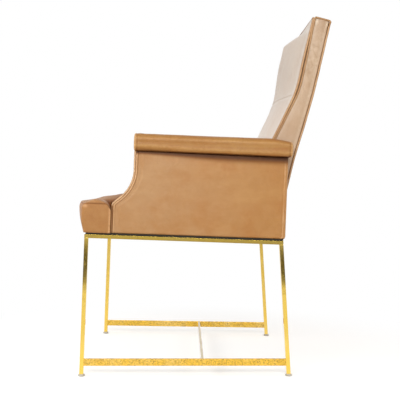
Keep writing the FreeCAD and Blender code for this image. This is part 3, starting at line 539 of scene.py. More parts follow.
def woven(name, dark, light, pitch):
    """Plain weave cloth: two crossing sets of threads, dark between them, with uneven tone."""
    paint = Paint(name)
    warp, weft = ((axis * (2 * math.pi / pitch)).sum("SINE") for axis in paint.axes()[:2])
    threads = (warp * weft) * 0.5 + 0.5
    tone = paint.noise(40, 4, 0.65).step(0.35, 0.7)
    colour = paint.blend(threads * 0.7 + tone * 0.3, dark, light)
    return paint.finish(Base_Color=colour, Roughness=0.9, Normal=paint.relief(threads, pitch * 0.3))


def timber(name):
    """Plain beech: long grain lines across a warm ground, with short flecks."""
    paint = Paint(name)
    grain = paint.noise(38, 5, 0.65, (3, 0.5, 3), 0.8)
    fleck = paint.noise(420, 2, 0.6, (4, 0.7, 4)).step(0.62, 0.72)
    lines = paint.ramp(grain, (0.25, (0.34, 0.2, 0.1)), (0.5, (0.5, 0.32, 0.18)), (0.75, (0.62, 0.43, 0.26)))
    colour = paint.blend(fleck * 0.4, lines, (0.3, 0.17, 0.08))
    return paint.finish(Base_Color=colour, Roughness=0.6 - fleck * 0.1, Normal=paint.relief(grain, 0.0004))


def sponge(name):
    """Yellowed upholstery foam: fine open cells, and patches where age has browned it."""
    paint = Paint(name)
    cells = paint.cells(500).step(0.1, 0.6)
    age = paint.noise(11, 3).step(0.35, 0.7)
    yellow, tan, brown = (0.72, 0.6, 0.36), (0.58, 0.42, 0.2), (0.35, 0.25, 0.12)
    colour = paint.coated(yellow, (age, tan), ((1 - cells) * 0.3, brown))
    return paint.finish(Base_Color=colour, Roughness=0.95, Normal=paint.relief(cells, 0.0006))


def zinc(name):
    """Zinc plated steel with a dull bloom and a fine grain."""
    paint = Paint(name)
    bloom = paint.noise(300, 4, 0.6).step(0.4, 0.7)
    colour = paint.blend(bloom, (0.66, 0.66, 0.64), (0.46, 0.45, 0.42))
    return paint.finish(Base_Color=colour, Metallic=0.95, Roughness=0.32 + bloom * 0.25,
                        Normal=paint.relief(paint.noise(900, 2), 0.00005))


# Tones of the hides: light streaks, ground, rich patches
SIDE_TONES = (0.545, 0.31, 0.135), (0.465, 0.238, 0.086), (0.445, 0.199, 0.053)
# The seat's tones are a darker copy of the hide: painted shade.
SEAT_TONES = (0.49, 0.25, 0.085), (0.41, 0.182, 0.052), (0.385, 0.153, 0.032)
ROLL_TONES = (0.48, 0.255, 0.066), (0.39, 0.173, 0.034), (0.365, 0.14, 0.02)
# The back boxings' and pads' tones are paler copies of the hide: partly wear, partly painted sheen.
BOXING_TONES = (0.62, 0.455, 0.315), (0.56, 0.38, 0.24), (0.52, 0.33, 0.19)
PAD_TONES = (0.88, 0.79, 0.7), (0.84, 0.735, 0.63), (0.8, 0.665, 0.56)
PIPING_TONES = (0.52, 0.31, 0.14), (0.4, 0.2, 0.066), (0.34, 0.15, 0.038)

# Tones of the brass: yellow and pale. Tones of the cloths: dark, light and the pitch of their threads
BAR_TONES = (0.9, 0.62, 0.12), (0.92, 0.66, 0.17)
STRETCHER_TONES = (0.9, 0.56, 0.08), (0.92, 0.63, 0.18)
CROSS_TONES = (0.58, 0.45, 0.25), (0.68, 0.57, 0.38)
BLACK_CLOTH = (0.012, 0.009, 0.005), (0.036, 0.027, 0.015), 0.0011
JUTE = (0.16, 0.11, 0.06), (0.42, 0.32, 0.19), 0.0024

# Each finish is a material and the name of a slot
# The sides are painted darker and more orange towards the rear, the back boxings and pads darker towards the
# top: painted light.
side_finish = (leather("side_hide", *SIDE_TONES, streaks=(1, 0.35, 1),
                       painted_gradient=(1, -0.15, 0.22, (0.98, 0.86, 0.53))), "leather_side")
seat_finish = (leather("seat_hide", *SEAT_TONES, roughness=0.4, streaks=(0.3, 1, 1),
                       faded=-0.07, gloss=0.32), "leather_seat")
roll_finish = (leather("roll_hide", *ROLL_TONES, roughness=0.38, streaks=(1, 0.08, 3),
                       faded=-0.04, gloss=0.4), "leather_roll")
boxing_finish = (leather("boxing_hide", *BOXING_TONES, roughness=0.4, streaks=(1, 1, 0.25),
                         painted_gradient=(2, 0.78, 1.0, (0.92, 0.9, 0.88))), "leather_boxing")
top_finish = (leather("top_hide", *BOXING_TONES, roughness=0.62, streaks=(0.25, 1, 1),
                      faded=-0.12, gloss=0.15), "leather_boxing")
pad_finish = (leather("pad_hide", *PAD_TONES, roughness=0.36, streaks=(1, 1, 0.2), faded=0.1,
                      painted_gradient=(2, 0.62, 0.88, (0.73, 0.69, 0.65))), "leather_pad")
piping_finish = (leather("piping_hide", *PIPING_TONES, roughness=0.36), "leather_piping")


# Arms

def front_curve(foot, gap=0.0):
    """The arm's front line from its foot to the roll and the way into the arm, a gap in front of it.

    A straight rise, a small round, a straight slope, a long hollow curve about a centre in front of the
    arm that touches the slope, and a straight rise.
    """
    bend = math.pi / 2 - ARM_SLOPE
    start = ARM_POST_FRONT - CURVE_RADIUS * (1 - math.cos(bend))
    start_height = ARM_CORNER + math.tan(ARM_SLOPE) * (start - ARM_FRONT)
    low_centre = np.array([ARM_FRONT + CORNER_RADIUS, ARM_CORNER - CORNER_RADIUS * math.tan(bend / 2)])
    high_centre = np.array([ARM_POST_FRONT - CURVE_RADIUS, start_height + CURVE_RADIUS * math.sin(bend)])
    turn = np.linspace(math.pi, math.pi - bend, 24)
    sweep = np.linspace(-bend, 0, 60)
    low = low_centre + CORNER_RADIUS * np.stack([np.cos(turn), np.sin(turn)], -1)
    high = high_centre + CURVE_RADIUS * np.stack([np.cos(sweep), np.sin(sweep)], -1)
    line = even(np.concatenate([[[ARM_FRONT, foot]], low, high, [[ARM_POST_FRONT, ARM_TOP]]]), EDGE_STEP)
    run = unit(np.gradient(line, axis=0))
    into = np.stack([run[:, 1], -run[:, 0]], -1)
    return line - gap * into, into


def arm_panel(name, side, outer, foot, nodes):
    """One leather skin of an arm: flat and softly padded, rounded over at its edges.

    Its grid leaves the front line square to it, as far as the line's small round lets it, and then runs
    straight to the rear edge. The outer skin also has the second welt, a low ridge that follows the front
    line, a seam near its rear edge, and the shade under the roll.
    """
    line, into = front_curve(foot)
    near = np.linspace(0, EDGE_STRIP, 22)
    square = np.minimum(near, CORNER_RADIUS - 0.4)
    first = line[:, None] + square[None, :, None] * into[:, None]
    first[..., 0] += near - square
    rear_height = foot + np.linspace(0, 1, len(line)) * (ARM_TOP - foot)
    rear_edge = ARM_REAR - outer * rounding(rear_height - foot, 9.0)
    rear = np.stack([rear_edge, rear_height], -1)
    across = chain((0, 0.955, 1), (105, 22))[1:]
    rest = first[:, -1:] + across[None, :, None] * (rear - first[:, -1])[:, None]
    along, up = np.moveaxis(np.concatenate([first, rest], 1), -1, 0)
    edge = np.concatenate([np.broadcast_to(near, first.shape[:2]), np.full(rest.shape[:2], FAR_OFF)], 1)
    behind = rear_edge[:, None] - along
    spot = at(along, up, 40.0 * side + 9 * outer)
    crown = smooth(edge, 8, 60) * smooth(behind, 0, 120)
    crown *= smooth(up - foot, 0, 60) * smooth(ARM_TOP - up, -30, 60)
    soft = smooth(np.minimum(edge, behind), 0, 30)
    rise = 2.6 * crown + 0.9 * drift(spot, 95) * soft + 0.22 * drift(spot, 27)
    fall = rounding(edge, 1.3 if outer else 4.5) + rounding(behind, 5.0)
    fall += rounding(up - foot, 5.0) + rounding(ARM_TOP - up, 3.0)
    # Painted shade along the front edge and at the foot.
    deep = bump(edge, 0, 0.9 if outer else 2.5) + 0.3 * bump(up - foot, 0, 4)
    worn = 0.0
    if outer:
        curved = 0.3 + 0.7 * smooth(up, 62, 84)
        seam = 8.5 + 1.6 * drift(spot, 40, 6.1)
        rise += curved * (1.5 * bump(edge, 2.7, 1.7) - 0.6 * bump(edge, 6.6, 1.6))
        rise += 0.9 * bump(behind, seam, 1.8) - 0.5 * bump(behind, seam + 2.8, 1.4)
        # Pale lines on the bead, at the rear edge and on the seam: wear and painted highlight.
        worn = curved * bump(edge, 2.9, 1.5) + 0.35 * bump(behind, 1, 3)
        worn += (0.45 + 0.4 * drift(spot, 21, 3.9)) * bump(behind, seam, 1.8)
        # Painted shade under the roll, deepest at the rear, and in the groove behind the bead.
        shade = 12 + 18 * smooth(along, 120, 430)
        deep += 0.6 * curved * bump(edge, 6.2, 1.1)
        deep += 1.1 * smooth(up, ARM_TOP - shade, ARM_TOP - 0.25 * shade)
        deep += 0.75 * smooth(up, ARM_TOP - 0.7 * shade, ARM_TOP - 0.2 * shade)
    surface = -OVERHANG - rise + fall if outer else ARM_INSIDE + rise - fall
    inside = SKIN - OVERHANG - 0.5 if outer else ARM_INSIDE - SKIN + 0.5
    skin = (on_side(side, along, inward, up) for inward in (surface, inside))
    return padded_skin(name, *skin, side_finish, nodes, 0.95, deep, worn)


def strip_fullness(place, height):
    """How far an arm's narrow strip stands out: full in its middle, rounded over at both welts."""
    other = STRIP_WIDE - place
    return height * smooth(place, 0, 12) * smooth(other, 0, 12) - rounding(place, 3) - rounding(other, 3)


def strip_shade(place):
    """The dark along both welts of an arm's narrow strip."""
    return 0.8 * (bump(place, 0, 2.5) + bump(place, STRIP_WIDE, 2.5))


def arm_facing(name, side, nodes):
    """The narrow front strip of an arm: its padding is carried along the front line, square to it."""
    line, into = front_curve(DECK)
    across = stations(STRIP_WIDE, 5, 6, 14)
    spot = at(line[:, None, 0], line[:, None, 1], across + 300 * side)
    forward = strip_fullness(across, 2.2) + 0.35 * drift(spot, 24)
    forward += 0.3 * creases(spot * (1, 1, 0.5), 16, 5)
    front = line[:, None] - forward[..., None] * into[:, None]
    back = (line + FACING_THICK * into)[:, None]
    skin = (on_side(side, face[..., 0], STRIP_START + across, face[..., 1]) for face in (front, back))
    return padded_skin(name, *skin, side_finish, nodes, 0.9, strip_shade(across))


def arm_rear_facing(name, side, nodes):
    """The narrow strip that closes an arm at the rear: upright, padded and rounded over at its foot."""
    across = stations(STRIP_WIDE, 5, 6, 12)
    up = stations(ARM_TOP - 1.0 - SHADOW_GAP, 8, 8, 70)[:, None] + SHADOW_GAP
    bulge = strip_fullness(across, 1.6) + 0.5 * drift(at(across, up, 77.0 * side), 40)
    bulge -= rounding(up - SHADOW_GAP, 4)
    depths = (ARM_REAR + bulge, ARM_REAR - REAR_FACING_THICK)
    skin = (on_side(side, depth, STRIP_START + across, up) for depth in depths)
    return padded_skin(name, *skin, side_finish, nodes, 0.9, strip_shade(across))


def roll_outline():
    """The roll's section, flat underneath and full above, as shares of its half width and half height.

    A closed cubic curve that passes through each knot in the direction of its two neighbours.
    """
    knots = np.array([(0, -1), (0.55, -1), (0.86, -0.86), (0.99, -0.4), (1.0, 0.1), (0.93, 0.55),
                      (0.72, 0.86), (0.38, 0.98), (0, 1.0)])
    knots = np.concatenate([knots, (knots * (-1, 1))[-2:0:-1]])
    places = np.linspace(0, len(knots), ROLL_COLUMNS, endpoint=False)
    base = np.floor(places).astype(int)
    part = (places - base)[:, None]
    p0, p1, p2, p3 = (knots[(base + shift) % len(knots)] for shift in (-1, 0, 1, 2))
    return 0.5 * (2 * p1 + (p2 - p0) * part + (2 * p0 - 5 * p1 + 4 * p2 - p3) * part ** 2
                  + (3 * p1 - p0 - 3 * p2 + p3) * part ** 3)


def arm_roll(name, side, nodes):
    """The padded roll on an arm: its section carried along Y, with flat sewn ends and a welt round each.

    The section swells with soft folds, hangs a little over the arm's outer side and sinks at the rear.
    """
    outline = roll_outline()
    out, high = outline.T
    end = np.concatenate([np.linspace(0, 0.8, 9), np.linspace(0.83, 1.0, 9)])
    turned = ((end - 0.8) / 0.2).clip(0, 1)
    end_depth = 1.4 * end ** 2 + 3.6 * (1 - np.sqrt(np.clip(1 - turned ** 2, 0, 1)))
    length = stations(ROLL_REAR - ROLL_FRONT - 10, 26, 18, 110) + ROLL_FRONT + 5
    depth = np.concatenate([ROLL_FRONT + end_depth, length, (ROLL_REAR - end_depth)[::-1]])[:, None]
    scale = np.concatenate([end, np.ones(len(length)), end[::-1]])[:, None]
    from_end = np.minimum(depth - ROLL_FRONT, ROLL_REAR - depth)
    ring = outline * (ROLL_WIDE / 2, ROLL_HIGH / 2)
    streak = at(ring[:, 0] + 500 * side, depth * 0.35, ring[:, 1])
    spot = at(ring[:, 0], depth, ring[:, 1] + 90 * side)
    swell = 0.7 * drift(streak, 30) + 0.35 * drift(streak, 11, 3.1)
    swell += 0.6 * drift(spot, 70, 1.7) - 0.9 * bump(from_end, 8.5, 2.4)
    swell += 0.9 * bump(from_end, 16, 9) * creases(spot * (1, 0.25, 1), 9, 3)
    band = 0.8 * bump(high, -0.42, 0.16) - 0.7 * bump(high, -0.05, 0.22) + 0.6 * bump(high, 0.4, 0.2)
    swell += band * (out > 0.4) * (1 + 0.5 * drift(spot * (0.1, 0.6, 0.1), 60, 8.8))
    swell *= smooth(from_end, 2, 9) * smooth(high, -1.0, -0.8)
    section = ring * scale[..., None] + unit(outline) * swell[..., None]
    hang = 4.6 * smooth(depth, 140, 330) * smooth(out, 0.8, 0.94) * smooth(-high, -0.3, 0.6)
    sink = 8.5 * smooth(depth, ROLL_REAR - 62, ROLL_REAR + 4) * smooth(high, -0.2, 0.9)
    x = ROLL_OUTER - ROLL_WIDE / 2 + section[..., 0]
    z = ARM_TOP + FIT + ROLL_HIGH / 2 + section[..., 1] - (hang + sink) * scale
    index = np.arange(swell.size).reshape(swell.shape)
    # Painted shade in the grooves near the ends and on the underside; pale bands on the ridges and rims at
    # the ends: painted highlight with some wear.
    deep = 0.35 * bump(from_end, 10, 1.8) + 0.85 * smooth(-high, 0.55, 1.0) * smooth(from_end, 3, 9)
    pale = 0.4 * bump(high, -0.42, 0.13) + 0.35 * bump(high, 0.42, 0.16)
    worn = pale * (out > 0.4) + 0.9 * bump(from_end, 3.5, 3)
    points = at(side * x, depth, z).reshape(-1, 3)
    piece = add_piece(name, points, quads(index, True), roll_finish, nodes, deep, worn)
    turn_out(piece.data, POLE_MERGE)
    return piece


# Seat

seat_rise = through((0, 12, 25, 37, 46, 62, 75, 87, 99.5, 112, 124, 160, 200, 260, 340, 420, 490),
                    (0, 0, 2, 4, 6.5, 12.5, 15, 16.7, 19.2, 22.4, 24.8, 29, 31.5, 33, 31, 26, 20), 3)
wing_rise = through((0, 9, 19, 27, 41, 56, 65, 70, 73.5), (0, 4.8, 10, 11.8, 10, 4, -5, -13, -19), 1.6)
border_swell = through((0, 0.03, 0.08, 0.16, 0.3, 0.5, 0.7, 0.85, 0.93, 1),
                       (0, 1.4, 3.6, 5.3, 6.2, 6.8, 5.2, 2.4, 1, 0), 0.008)
BORDER_DROPS = (0.012, 0.03, 0.055, 0.09, 0.14, 0.2, 0.28, 0.37, 0.46, 0.55, 0.64, 0.73, 0.81, 0.88, 0.93,
                0.965, 0.987)


def seat_edge(across):
    """How far the front stands out at the middle compared with the corners, as a share."""
    return 1 - np.clip(np.abs(across) / SEAT_WIDE_HALF, 0, 1) ** 2


def bowed(depth, across, bow):
    """The depth of a point once the front is bowed: the bow fades out behind the front corners."""
    return depth - bow * seat_edge(across) * (1 - smooth(depth, SEAT_FRONT, WING_REAR + 60))


def seat_half(depth):
    """Half width of the cushion: full in front of the arms, then cut back to run between them."""
    wing = SEAT_WIDE_HALF - rounding(depth - SEAT_FRONT, 7) - rounding(WING_REAR - depth, 3)
    inner = inner_half(depth, ARM_INSIDE + FIT)
    return wing + smooth(depth, WING_REAR, WING_REAR + 1.5) * (inner - wing)


def seat_grid(bow):
    """The cushion's plan: rows from the bowed front to the rear, columns across the half widths.

    The third result is each point's distance from the outline, measured along its own row and column.
    """
    stops = np.array([0, 12, WING_REAR - 12 - SEAT_FRONT, WING_REAR + 3 - SEAT_FRONT,
                      SEAT_REAR - 12 - SEAT_FRONT, SEAT_REAR - SEAT_FRONT])
    depth = SEAT_FRONT + chain(stops, (13, 22, 22, 92, 10))[:, None]
    across = spread(171, 0.86) * seat_half(depth)
    aside = np.abs(across)
    y = bowed(depth, across, bow)
    behind = np.where(aside > inner_half(WING_REAR, ARM_INSIDE + FIT), WING_REAR, SEAT_REAR) - y
    edge = np.minimum.reduce([y - SEAT_FRONT + bow * seat_edge(across), seat_half(depth) - aside, behind])
    return across, y, np.maximum(edge, 0)


def inside_gap(across, y):
    """Painted shade in the crevices beside the arms and under the back, from 0 to 1."""
    beside = bump(inner_half(y, ARM_INSIDE) - np.abs(across), 0, 7) * smooth(y, WING_REAR, WING_REAR + 8)
    return np.clip(beside + bump(y, SEAT_REAR, 9), 0, 1)


def border_rings(upper, lower):
    """The cushion's border between its seam and its foot, and what is stored there: painted shade at the seam
    and the foot, then painted highlights at the wings' front and rear corners.

    Each ring lies a share of the way down and stands out square to the seam: all of the swell in front,
    a third at the sides, none between the arms, with soft ripples, and pinched at the seam and the foot.
    """
    x, y = upper[:, 0], upper[:, 1]
    run = np.roll(upper, -1, 0) - np.roll(upper, 1, 0)
    out = np.stack([-run[:, 1], run[:, 0]], -1)
    out /= np.maximum(np.linalg.norm(out, axis=1, keepdims=True), 1e-6)
    ahead = smooth(-out[:, 1], 0.3, 0.9) * (y < WING_REAR - 12)
    outside = 1 - smooth(y, WING_REAR - 6, WING_REAR)
    drop = np.array(BORDER_DROPS)[:, None]
    rings = upper + (lower - upper) * drop[..., None]
    spot = at(rings[..., 0] + rings[..., 1], 0, rings[..., 2] * 0.25)
    swell = border_swell(drop) * (ahead + 0.3 * (1 - ahead) * outside)
    swell -= 1.4 * bump(drop, 0.012, 0.016) + rounding(1 - drop, 0.05) * 40
    swell += (0.7 * drift(spot, 24, 7.7) + 0.4 * drift(spot, 10, 3.3) * np.exp(-drop * 5)) * outside
    rings[..., :2] += out * swell[..., None]
    # Painted shade at the seam and the foot; painted highlights at the wings' rear edges and front corners.
    deep = 0.6 * bump(drop, 0.01, 0.016) + 0.4 * smooth(drop, 0.93, 1) + 0 * swell
    worn = bump(y, WING_REAR - 3, 2.6) + bump(y, 6, 4.5) * bump(drop, 0.09, 0.05)
    return rings, deep, worn * (np.abs(x) > CROWN_HALF)


def seat_cushion(nodes):
    """The seat cushion: a crowned top and a bulged border that meet in a sewn seam.

    The top's height is the seam's, plus a pillow near the seam and the crown, which give way to the front
    corners' own rise outside them, plus ripples, puckers at the seam, and folds cut in.
    """
    across, y, edge = seat_grid(SEAM_BOW)
    aside = np.abs(across)
    from_front = y - SEAT_FRONT + SEAM_BOW * seat_edge(across)
    crown = seat_rise(from_front) * (1 - np.clip(aside / CROWN_HALF, 0, 1) ** 2.5)
    pillow = 4.2 * np.sqrt(1 - (1 - np.clip(edge / 18, 0, 1)) ** 2)
    beside = np.clip(1 - (seat_half(y) - aside) / 20, 0, 1)
    wing = wing_rise(y - SEAT_FRONT)
    wing = np.maximum(wing, 0) * np.sqrt(1 - beside ** 2) + np.minimum(wing, 0)
    outside = np.maximum(smooth(aside, 190, 245) * (1 - smooth(y, 45, 80)), smooth(aside, 236, 246))
    spot = at(across, y, 12.0)
    ripple = 1.5 * drift(spot, 85) * smooth(edge, 0, 40) + 0.45 * drift(spot, 30, 1.3) * smooth(edge, 0, 14)
    pucker = 1.1 * drift(at(across, y * 0.12, 0), 13, 4.1) * np.exp(-edge / 17) * smooth(edge, 0, 3)
    fold = 1.3 * creases(spot * (0.45, 1, 1), 52, 9, 2.6) * smooth(from_front, 14, 60) * smooth(edge, 4, 24)
    height = SEAM_HEIGHT + (pillow + crown) * (1 - outside) + wing * outside + ripple + pucker - fold
    top = at(across, y, height)
    bottom = at(*seat_grid(LOW_BOW)[:2], SHADOW_GAP)
    # Painted highlight on the crown's ridge beside the arms and on the wings' tops, a pale band near the
    # front edge; painted shade at the edges, in the crevices, towards the rear, in the valley behind the
    # ridge and near the arms.
    ridge = 34 + 31 * smooth(aside, 195, 300)
    worn = 0.3 * bump(edge, 5, 4) * (from_front < 30) + 0.95 * bump(y, ridge, 5) * smooth(aside, 185, 225)
    worn += 0.32 * smooth(aside, 200, 250) * (1 - smooth(y, ridge - 14, ridge - 4))
    deep = 0.7 * bump(edge, 0, 1.1) + 0.7 * inside_gap(across, y) + 0.3 * smooth(y, 30, 80)
    deep += 0.9 * smooth(y, ridge + 6, ridge + 15) * smooth(aside, 195, 235)
    deep += 0.4 * smooth(aside, 100, 200) * smooth(y, 66, 84)
    rings, *on_rings = border_rings(border(top), border(bottom))
    stored = (np.concatenate([on_top.ravel(), np.zeros(on_top.size), on_ring.ravel()])
              for on_top, on_ring in zip((deep, worn), on_rings))
    points, faces = slab(top, bottom, rings)
    return add_piece("seat_cushion", points, faces, seat_finish, nodes, *stored)


def underside_cloth(nodes):
    """The black cloth tray under the leather: it shows as a dark line between the leather and the rails."""
    depth = SEAT_FRONT + 6 + stations(ARM_REAR - SEAT_FRONT - 12, 20, 6, 40)[:, None]
    across = np.linspace(-1, 1, 41) * inner_half(depth, -4.9)
    y = bowed(depth, across, LOW_BOW - 4)
    points, faces = slab(at(across, y, SHADOW_GAP + 0.4), at(across, y, FIT))
    finish = (woven("band_cloth", *BLACK_CLOTH), "dust_cloth")
    return add_piece("underside_cloth", points, faces, finish, nodes)


# Back

pad_shape = through((105, 168, 262, 340, 370, 400, 440, 480, 520, 560, 590, 600, 607, 614, 629.7),
                    (0.11, 0.37, 0.61, 0.69, 0.67, 0.71, 0.77, 0.845, 0.9, 0.97, 1.03, 0.88, 0.45, 0.15, 0),
                    2.5)
welt_spread = through((200, 330, 420, 500, 530, 570, 600, 640), (4.0, 4.4, 6.2, 6.6, 6.2, 4.2, 2.8, 2.6), 8)


def cap_height(share):
    """Height of the top boxing, which falls evenly from the front welt to the rear one."""
    return TOP_HEIGHT - 4.2 - 7.0 * share


def back_pad(name, low, high, nodes, seed):
    """A back pad: crowned across and upwards, pinched at its seams and at the side welts.

    It stands in front of the welts' line by the crown, with soft hollows, gathers that run square to the
    seam and to the side welts, and creases cut in.
    """
    up = low + stations(high - low, 14, 15, 96)
    height, x = np.meshgrid(up, spread(151, 0.9) * PAD_HALF, indexing="ij")
    fullness = 1.75 - 0.65 * smooth(height, 530, 605)
    edge = PAD_HALF - np.abs(x)
    seam = np.abs(height - PAD_SEAM)
    spot = at(x, height, seed)
    soft = smooth(edge, 0, 36) * smooth(seam, 0, 30)
    forward = PAD_CROWN * (1 - np.abs(x / PAD_HALF) ** fullness) * pad_shape(height) + PAD_SWELL
    forward -= 4.0 * np.exp(-edge / 3.5) + 1.6 * np.exp(-seam / 2.6)
    forward += 1.6 * drift(spot * (1, 0.6, 1), 75) * soft + 0.4 * drift(spot, 24, 5.5) * smooth(edge, 0, 10)
    forward += 0.9 * drift(spot * (1, 0.15, 1), 15, 2.3) * np.exp(-seam / 26) * smooth(seam, 0, 4)
    forward += 0.8 * drift(spot * (0.15, 1, 1), 17, 6.3) * np.exp(-edge / 24) * smooth(edge, 0, 4)
    forward -= 1.2 * creases(spot * (1, 0.4, 1), 60, 10, 3.9) * soft
    front = at(x, welt_line(height) - forward, height)
    back = at(x, np.maximum(welt_line(height) + 12, rear_line(height) - 42), height)
    # Painted shade at the side welts, at the seam and at the foot; pale bands beside the seam, the edges and
    # near the top: wear and painted highlight.
    deep = 0.8 * bump(edge, 0, 3.2) + 0.1 * bump(seam, 0, 1.4) + 0.6 * bump(height, KINK_HEIGHT, 14)
    worn = 0.15 * bump(seam, 6, 4) + 0.25 * bump(edge, 9, 6) + 0.2 * bump(height, 600, 12)
    return padded_skin(name, front, back, pad_finish, nodes, 0.9, np.minimum(deep, 1), worn)


def side_boxing(name, side, nodes):
    """The side of the back between its welts: nearly flat, with small slanted gathers near the top."""
    t, s = np.meshgrid(stations(1.0, 0.03, 10, 150), stations(1.0, 0.12, 8, 30), indexing="ij")
    height = KINK_HEIGHT + t * (cap_height(s) - KINK_HEIGHT)
    front, rear = welt_line(height) + WELT_ROOM, rear_line(height) - WELT_ROOM
    y = front + s * (rear - front)
    gap = np.minimum(y - front, rear - y)
    spot = at(y, height, 33.0 * side)
    slanted = at(y * 1.3 + height * 0.5, height * 0.9 - y * 0.4, 9)
    drawn_in = bump(height, 500, 75) * smooth(gap, 1, 10)
    gathers = creases(slanted, 21, 6, 1.1) * drawn_in
    bulge = 1.8 * smooth(gap, 0, 20) + 0.7 * drift(spot, 48) * smooth(gap, 0, 14) + 0.2 * drift(spot, 17)
    bulge -= 1.7 * gathers + rounding(gap, 2.5)
    # Painted shade at the welts and in the gathers; pale bands near the welts and on the gathers' crests as
    # wear and painted highlight, and painted highlights at both top corners.
    deep = 0.7 * bump(gap, 0, 2.0) + 0.3 * gathers
    worn = 0.3 * bump(gap, 7, 4) + 0.5 * (1 - bump(gap, 0, 9)) * creases(slanted * 1.1, 21, 3, 4.1) * drawn_in
    worn += bump(t, 0.98, 0.012) * (bump(s, 0.16, 0.09) + 0.8 * bump(s, 0.9, 0.06))
    outer = at(side * (BACK_HALF + bulge - 0.6), y, height)
    inner = at(side * (BACK_HALF - BOXING), y, height)
    return padded_skin(name, outer, inner, boxing_finish, nodes, 0.95, deep, worn)


def top_boxing(nodes):
    """The narrow strip across the top of the back: a little full, rounded over at both welts."""
    across = stations(2 * PAD_HALF, 14, 8, 120) - PAD_HALF
    x, s = np.meshgrid(across, stations(1.0, 0.15, 6, 14), indexing="ij")
    height = cap_height(s)
    y = welt_line(height) + WELT_ROOM + s * (rear_line(height) - welt_line(height) - 2 * WELT_ROOM)
    rise = 1.5 * smooth(s, 0, 0.3) * smooth(1 - s, 0, 0.3) + 0.5 * drift(at(x, y, 5), 32)
    rise -= rounding(s * 36, 2) + rounding((1 - s) * 36, 2)
    # Painted shade at both welts.
    deep = 0.7 * (bump(s, 0, 0.05) + bump(s, 1, 0.05))
    return padded_skin("back_top_boxing", at(x, y, height + rise), at(x, y, height - BOXING),
                       top_finish, nodes, 0.95, deep)


def outside_back(nodes):
    """The rear skin: upright at its foot, then raked back, stretched nearly flat."""
    up = SHADOW_GAP + stations(OUTSIDE_TOP - SHADOW_GAP, 12, 10, 150)[:, None]
    low_half = inner_half(ARM_REAR, ARM_INSIDE) - FIT
    half = PAD_HALF + (low_half - PAD_HALF) * (1 - smooth(up, KINK_HEIGHT - 6, KINK_HEIGHT))
    x = spread(111, 0.9) * half
    edge = half - np.abs(x)
    spot = at(x, up, 61)
    out = 1.6 * smooth(edge, 0, 90) * smooth(OUTSIDE_TOP - up, 0, 60) * smooth(up, 5, 60)
    out += 0.8 * drift(spot, 110) * smooth(edge, 0, 30) + 0.2 * drift(spot, 28)
    out -= rounding(edge, 3.5) + rounding(up - SHADOW_GAP, 4)
    # Painted shade at the edges and at the kink.
    deep = 0.7 * bump(edge, 0, 2.2) + 0.5 * bump(up, KINK_HEIGHT, 3)
    return padded_skin("outside_back_skin", at(x, rear_line(up) + out, up), at(x, rear_line(up) - 5, up),
                       side_finish, nodes, 0.95, deep)


# Welts

def round_top(line, low, half, top):
    """A path up one side of the back, across its top and down again, with round corners."""
    up = np.linspace(low, top - TOP_CORNER, 120)
    turn = np.linspace(0, math.pi / 2, 12)[1:]
    x = np.concatenate([np.full(len(up), half), half - TOP_CORNER + TOP_CORNER * np.cos(turn)])
    z = np.concatenate([up, top - TOP_CORNER + TOP_CORNER * np.sin(turn)])
    one = at(x, line(z), z)
    return np.concatenate([one, one[::-1] * (-1, 1, 1)])


def side_welt(low):
    """The second welt's path on the sitter's left, as a depth and a height on each of its four runs.

    It goes up beside the pad's welt, over to the rear in two quarter turns, and down into the rear welt,
    where it runs a little inwards.
    """
    up = np.linspace(low, TOP_HEIGHT - 6.5, 120)
    turn = np.linspace(0, math.pi / 2, 12)
    down = np.linspace(TOP_HEIGHT - 17, TOP_HEIGHT - 30, 12)
    runs = ((welt_line(up) + PIPING / 2 + welt_spread(up), up),
            (welt_line(TOP_HEIGHT) + 7.6 - 2 * np.cos(turn), TOP_HEIGHT - 6.5 + 4 * np.sin(turn)),
            (rear_line(REAR_TOP_HEIGHT) - 9.5 + 7 * np.sin(turn), TOP_HEIGHT - 16.5 + 6.5 * np.cos(turn)),
            (rear_line(down) - 3, down))
    depth, height = (np.concatenate(parts) for parts in zip(*runs))
    inwards = np.concatenate([np.zeros(len(depth) - len(down)), np.linspace(0, 1, len(down))])
    return at(BACK_HALF + 0.5 - 4 * inwards, depth, height)


def back_pipings():
    """The double welt round the pads and the single welt round the outside back."""
    low = ARM_TOP + ROLL_HIGH - 24
    radius = PIPING / 2
    half = BACK_HALF - radius
    pad_path = round_top(lambda z: welt_line(z) + radius - 1, low, half, TOP_HEIGHT - radius)
    rear_path = round_top(lambda z: rear_line(z) - radius, KINK_HEIGHT + 6, half, REAR_TOP_HEIGHT - radius)
    side_paths = [side_welt(low) * (side, 1, 1) for _, side in SIDES]
    add_tubes("pad_welt", [pad_path], radius, ["pad_piping"])
    add_tubes("side_welts", side_paths, SIDE_WELT_RADIUS, ["boxing_piping"], crest_rub_and_sheen=0.25)
    add_tubes("rear_welt", [rear_path], radius, ["rear_piping"])


def arm_pipings():
    """A welt on each front edge of both arms, from its foot up to the roll."""
    paths = []
    for _, side in SIDES:
        for foot, inward in ((SHADOW_GAP + 1, SKIN / 2 - OVERHANG), (DECK, ARM_INSIDE - SKIN / 2)):
            line, _ = front_curve(foot, PIPING / 2 - 0.6)
            paths.append(on_side(side, line[:, 0], inward, line[:, 1]))
    # The welts are painted dark as shade below a height of 77.
    add_tubes("arm_welts", paths, PIPING / 2, ["arm_pipings"], crest_rub_and_sheen=1.0, shaded=77)


# Brass base and hidden nodes

